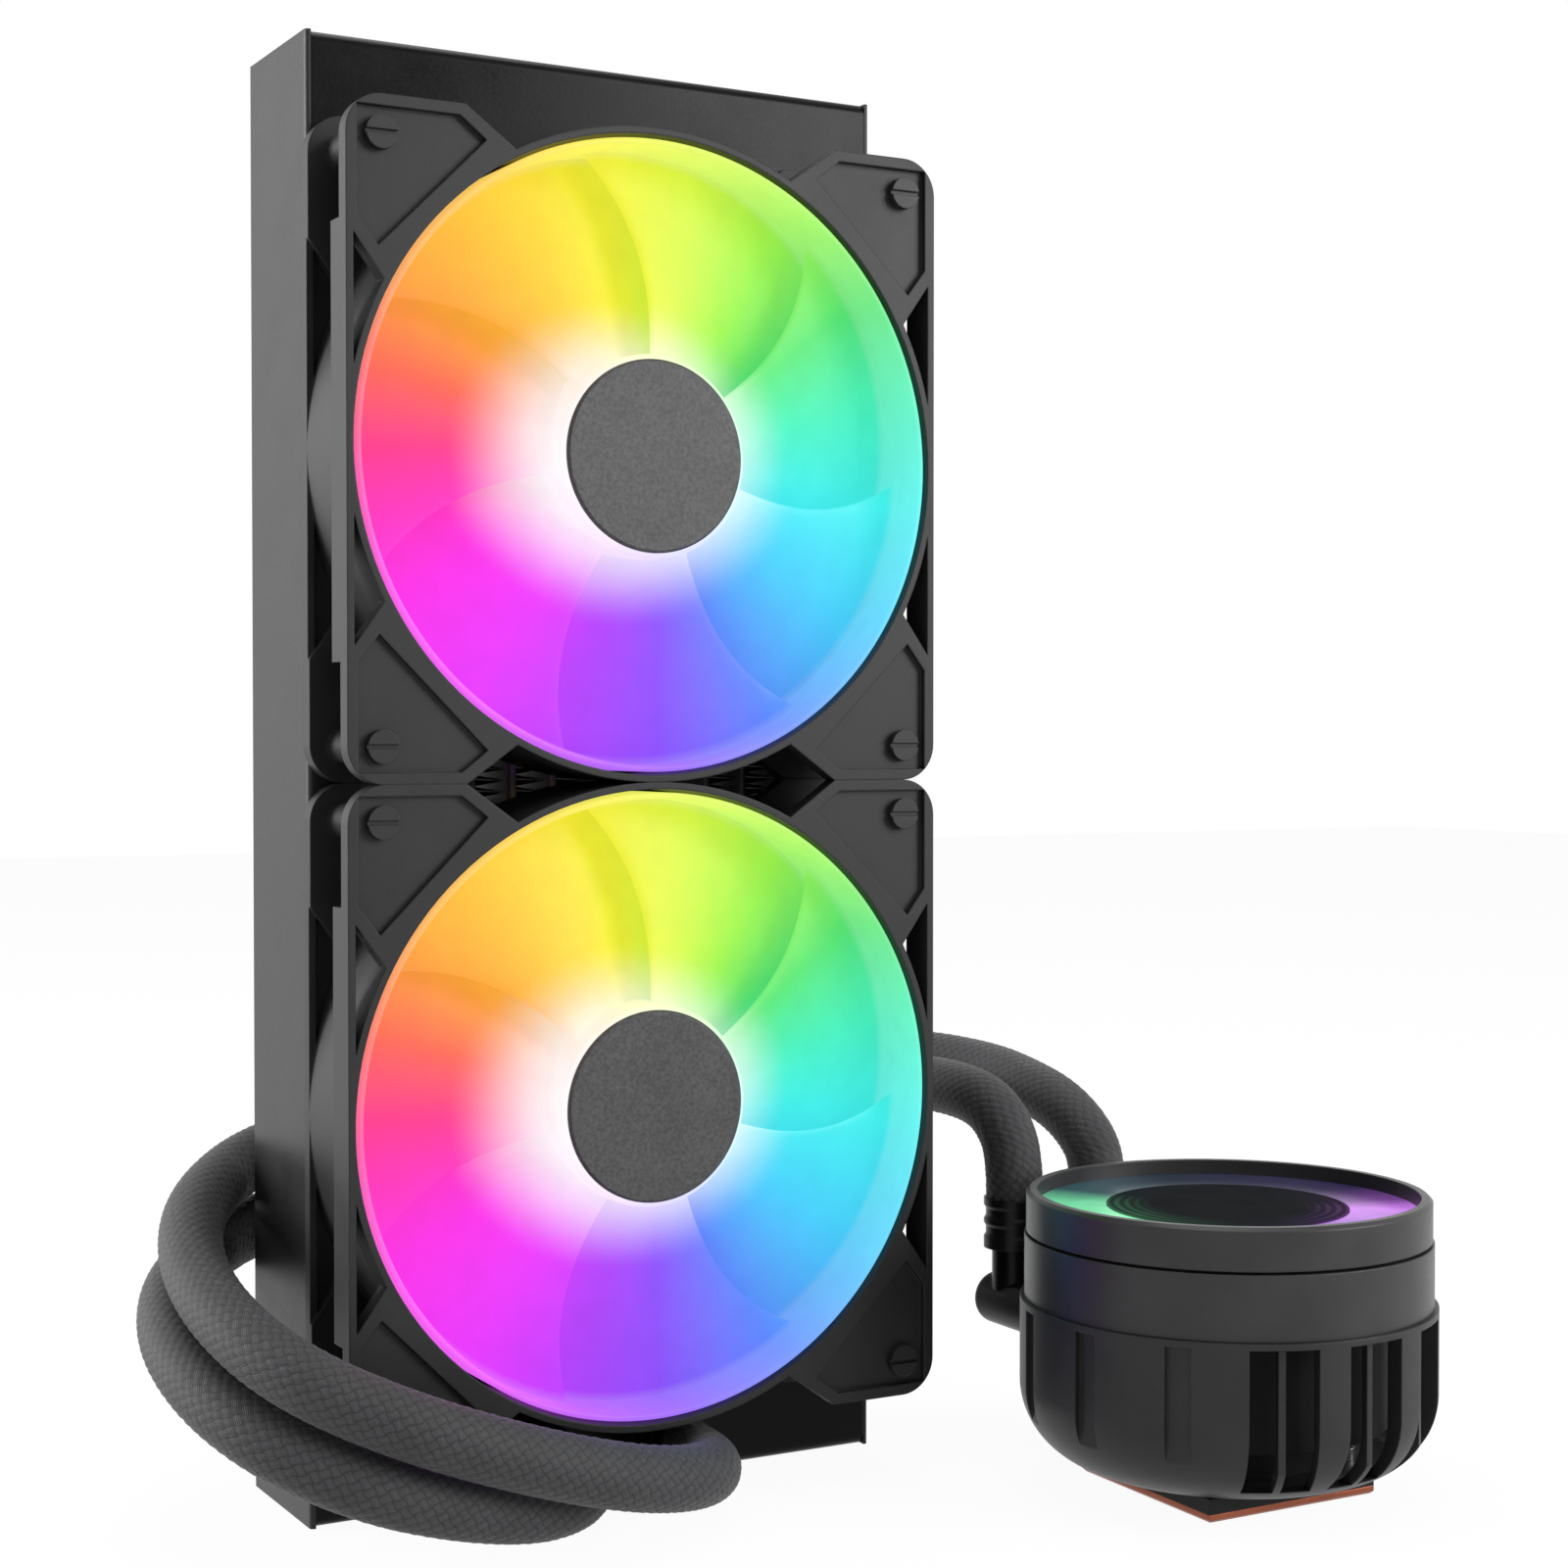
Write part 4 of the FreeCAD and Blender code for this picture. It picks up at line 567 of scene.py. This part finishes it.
def ring_finish():
    """The cap's milky light ring: mint on one side, violet on the other, dim blue behind."""
    item, tree, shader = begin("cap_light")
    _, lit = cap_light(tree)
    haze = noise(tree, place_of(tree), 5 * MM)
    tree.links.new(toned(tree, lit, haze, 0.9, 1.1), shader.inputs["Emission Color"])
    shader.inputs["Emission Strength"].default_value = 0.9
    shader.inputs["Base Color"].default_value = (0.02, 0.02, 0.024, 1)
    shader.inputs["Roughness"].default_value = 0.2
    shader.inputs["Specular IOR Level"].default_value = 0.05
    bumped(tree, shader, haze, 0.01 * MM, 0.3 * MM)
    return item


def board_finish():
    """A green circuit board with square-cornered tracks."""
    item, tree, shader = begin("green_board")
    tracks_to_metre = (400, 400, 400)
    place = add(tree, "ShaderNodeMapping", {"Vector": place_of(tree), "Scale": tracks_to_metre}).outputs[0]
    cells = add(tree, "ShaderNodeTexVoronoi", {"Vector": place, "Scale": 1.0}, distance="MANHATTAN")
    track = spread(tree, cells.outputs["Distance"], 0.0, 1.0, 0.52, 0.56)
    colour = add(tree, "ShaderNodeMix", {0: track, 6: (0.01, 0.10, 0.045, 1), 7: (0.03, 0.2, 0.09, 1)},
                 data_type="RGBA").outputs[2]
    tree.links.new(colour, shader.inputs["Base Color"])
    shader.inputs["Roughness"].default_value = 0.35
    bumped(tree, shader, track, 0.03 * MM)
    return item


# Fans

def turned_ring(profile, centre, steps=180):
    """A closed (radius, height) outline in mm turned about a fan's axis; height runs forwards, to -Y."""
    angle = np.linspace(0, 2 * math.pi, steps, endpoint=False)[:, None]
    radius, height = (np.array(profile) * MM).T
    return carried(fan_points(radius, angle, height, centre), ring=True)


def fan_points(radius, angle, height, centre):
    """Points at a radius and angle round a fan's axis, and at a height in front of its back."""
    radius, angle, height = np.broadcast_arrays(radius, angle, height)
    return np.stack([radius * np.cos(angle), FAN_BACK - height, centre + radius * np.sin(angle)], -1)


def rounded_outline(inner, outer, foot, head, soft, steps=5):
    """A rectangle of (radius, height) whose corners are quarter circles of radius soft."""
    bend = np.linspace(0, math.pi / 2, steps)
    corners = [(outer - soft, head - soft, 0), (inner + soft, head - soft, 1),
               (inner + soft, foot + soft, 2), (outer - soft, foot + soft, 3)]
    points = [np.stack([radius + soft * np.cos(bend + quarter * math.pi / 2),
                        height + soft * np.sin(bend + quarter * math.pi / 2)], 1)
              for radius, height, quarter in corners]
    return np.concatenate(points)


# A fan's blades: mm, and degrees for the span and the sweep. Heights run from the fan's back.
BLADES = 7
BLADE_GAUGE = 1.5
BLADE_SPAN = 66.0
ROOT_EXTRA = 9.0
BLADE_SWEEP = 17.0
BLADE_BULGE = 0.16
BLADE_ROWS, BLADE_COLUMNS = 22, 41
ROOT_RADIUS, TIP_RADIUS = 21.25, 67.1
ROOT_HEIGHTS = (6.2, 21.5)
TIP_HEIGHTS = (5.2, 15.0)

# The hub cup's outline as (radius, height), and the tip ring's radii and heights.
CUP_OUTLINE = [(20.5, 5.2), (22.0, 5.2), (22.0, 24.2), (21.9, 24.8), (21.5, 25.25), (20.9, 25.4),
               (1.5, 25.4), (1.5, 17.4), (4.0, 17.4), (4.0, 23.4), (20.5, 23.4)]
TIP_RING = {"inner": 66.4, "outer": 67.8, "foot": 4.8, "head": 26.3, "soft": 0.6}


def blade(start, centre):
    """One swept blade. At a share t from root to tip and s from leading to trailing edge, the angle is the
    start plus a sweep of t to the power 1.5 plus the span times s less a half, and the height rises from foot
    to head with s plus a slight bulge. The span is a little wider at the root and narrows with the cube of
    1 - t. The section is that line with a gauge above it, rounded at both edges."""
    t = np.linspace(0, 1, BLADE_ROWS)[:, None]
    edge = (1 - np.cos(np.linspace(0, math.pi, BLADE_COLUMNS))) / 2
    s = np.concatenate([edge, edge[::-1]])[None, :]
    above = np.concatenate([np.ones(BLADE_COLUMNS), -np.ones(BLADE_COLUMNS)])[None, :]
    thick = BLADE_GAUGE / 2 * np.sqrt(np.clip(1 - np.abs(2 * s - 1) ** 12, 0.02, 1))
    foot = ROOT_HEIGHTS[0] + t * (TIP_HEIGHTS[0] - ROOT_HEIGHTS[0])
    head = ROOT_HEIGHTS[1] + t * (TIP_HEIGHTS[1] - ROOT_HEIGHTS[1])
    rise = s + BLADE_BULGE * np.sin(math.pi * s)
    height = foot + (head - foot) * rise + BLADE_GAUGE / 2 + above * thick
    span = BLADE_SPAN + ROOT_EXTRA * (1 - t) ** 3
    angle = np.radians(start + BLADE_SWEEP * t ** 1.5 + span * (s - 0.5))
    radius = ROOT_RADIUS + t * (TIP_RADIUS - ROOT_RADIUS)
    return carried(fan_points(radius * MM, angle, height * MM, centre))


def rotor(which):
    """A fan's hub cup, tip ring and blades as one piece."""
    centre = FAN_CENTRES[which]
    parts = [turned_ring(CUP_OUTLINE, centre), turned_ring(rounded_outline(**TIP_RING), centre)]
    parts += [blade(360.0 * number / BLADES, centre) for number in range(BLADES)]
    piece(f"lit_rotor_{which}", joined(parts), rotor_finish(which), f"{which}_fan_rotor",
          [f"fan_rotor_{which}"], crease=35.0)


# Radiator core

# Folds in the height of each strip, the sheet's gauge, and the flat tubes that part the strips.
FIN_FOLDS = 206
FIN_GAUGE = 0.14 * MM
TUBE_COUNT = 13
TUBE_GAUGE = 2.0 * MM


def fine_fins(finish):
    """Folded strips between the coolant tubes. The sheet's place swings from one tube to the next and back
    at each fold, and the folds are evenly spaced in height."""
    low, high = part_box("fin_strips")
    gap = (high.x - low.x + TUBE_GAUGE) / (TUBE_COUNT + 1)
    height = np.linspace(low.z, high.z, FIN_FOLDS + 1)
    swing = np.arange(FIN_FOLDS + 1) % 2
    strips = []
    for number in range(TUBE_COUNT + 1):
        left = low.x + number * gap
        x = left + swing * (gap - TUBE_GAUGE - FIN_GAUGE)
        corners = [(0, low.y), (FIN_GAUGE, low.y), (FIN_GAUGE, high.y), (0, high.y)]
        edges = [np.stack([x + aside, np.full_like(x, y), height], -1) for aside, y in corners]
        strips.append(carried(np.stack(edges, 1)))
    piece("fine_fins", joined(strips), finish, "cooler", ["fin_strips"], crease=20.0)


# Everything

def dress(finish, *names):
    """Gives CAD nodes a finish."""
    for name in names:
        mesh = frame["nodes"][name].data
        mesh.materials.clear()
        mesh.materials.append(finish)


def both(kind):
    """The names of a kind of node on the upper and the lower fan."""
    return [f"{kind}_upper", f"{kind}_lower"]


camera()
sleeve = sleeve_finish()
sleeved_hose("hose_one", ROUTE_ONE, sleeve)
sleeved_hose("hose_two", ROUTE_TWO, sleeve)
studio()
for which in FAN_CENTRES:
    rotor(which)
core = moulded("core_paint", (0.028, 0.028, 0.030), 0.42, grain=0.6 * MM, shine=0.3)
fine_fins(core)

dress(moulded("tank_paint", (0.002, 0.002, 0.0022), 0.22, grain=0.9 * MM, rise=0.01 * MM, edge=0.8 * MM,
              shine=0.1), "upper_tank", "lower_tank", "upper_header", "lower_header")
dress(moulded("plate_paint", (0.013, 0.013, 0.0135), 0.36, grain=0.7 * MM, rise=0.015 * MM, edge=0.8 * MM,
              shine=0.23), "side_plate_left", "side_plate_right")
dress(core, "coolant_tubes")
dress(moulded("frame_plastic", (0.015, 0.015, 0.016), 0.45, grain=0.5 * MM, rise=0.02 * MM, edge=0.5 * MM,
              shine=0.22), *both("fan_frame"))
dress(hub_finish(), *both("hub_disc"))
dress(moulded("black_screw", (0.015, 0.015, 0.016), 0.42, shine=0.22), "fan_screws")
dress(moulded("turned_steel", (0.55, 0.55, 0.57), 0.28, metallic=1.0, stretch=(6, 6, 1)),
      "plate_screws", "pump_spindle", "vent_shaft", *both("rotor_yoke"), *both("rotor_shaft"))
dress(moulded("magnet_grey", (0.07, 0.065, 0.062), 0.6), *both("magnet_ring"))
dress(moulded("sintered_bronze", (0.55, 0.38, 0.18), 0.45, metallic=1.0), *both("sleeve_bearing"))
dress(moulded("wound_copper", (0.50, 0.20, 0.08), 0.35, metallic=0.9, grain=0.3 * MM, rise=0.1 * MM,
              stretch=(9, 9, 1)), "pump_coils", "vent_stator", *both("fan_stator"))
dress(board_finish(), "pump_board", "light_board", *both("fan_board"))
dress(moulded("black_fitting", (0.010, 0.010, 0.011), 0.32, shine=0.15), "radiator_ports")
dress(moulded("satin_ferrule", (0.007, 0.007, 0.0075), 0.34, stretch=(1, 1, 5), shine=0.15),
      "radiator_ferrules", "pump_ferrules")
dress(moulded("elbow_plastic", (0.004, 0.004, 0.0045), 0.3, shine=0.12), "pump_elbow_one", "pump_elbow_two")
dress(moulded("machined_copper", (0.25, 0.078, 0.045), 0.34, metallic=1.0, grain=0.25 * MM,
              stretch=(14, 1, 1), rise=0.03 * MM), "cold_plate")
dress(moulded("black_rubber", (0.02, 0.02, 0.02), 0.7), "plate_seal")
dress(moulded("filled_plastic", (0.010, 0.010, 0.011), 0.5, shine=0.15), "pump_base")
dress(moulded("dark_plastic", (0.005, 0.005, 0.0055), 0.5, shine=0.1), "pump_chamber", "vent_rotor")
dress(moulded("white_plastic", (0.62, 0.62, 0.6), 0.45), "pump_impeller")
dress(moulded("housing_plastic", (0.018, 0.018, 0.0188), 0.42, grain=0.5 * MM, rise=0.02 * MM,
              edge=0.5 * MM, shine=0.25), "ribbed_housing")
dress(moulded("band_plastic", (0.022, 0.022, 0.0228), 0.36, grain=0.6 * MM, rise=0.012 * MM, edge=0.5 * MM,
              shine=0.32), "cap_band", "cap_cup")
dress(ring_finish(), "light_ring")
dress(mirror_finish(), "mirror_disc")

bpy.context.scene.view_settings.view_transform = "Standard"
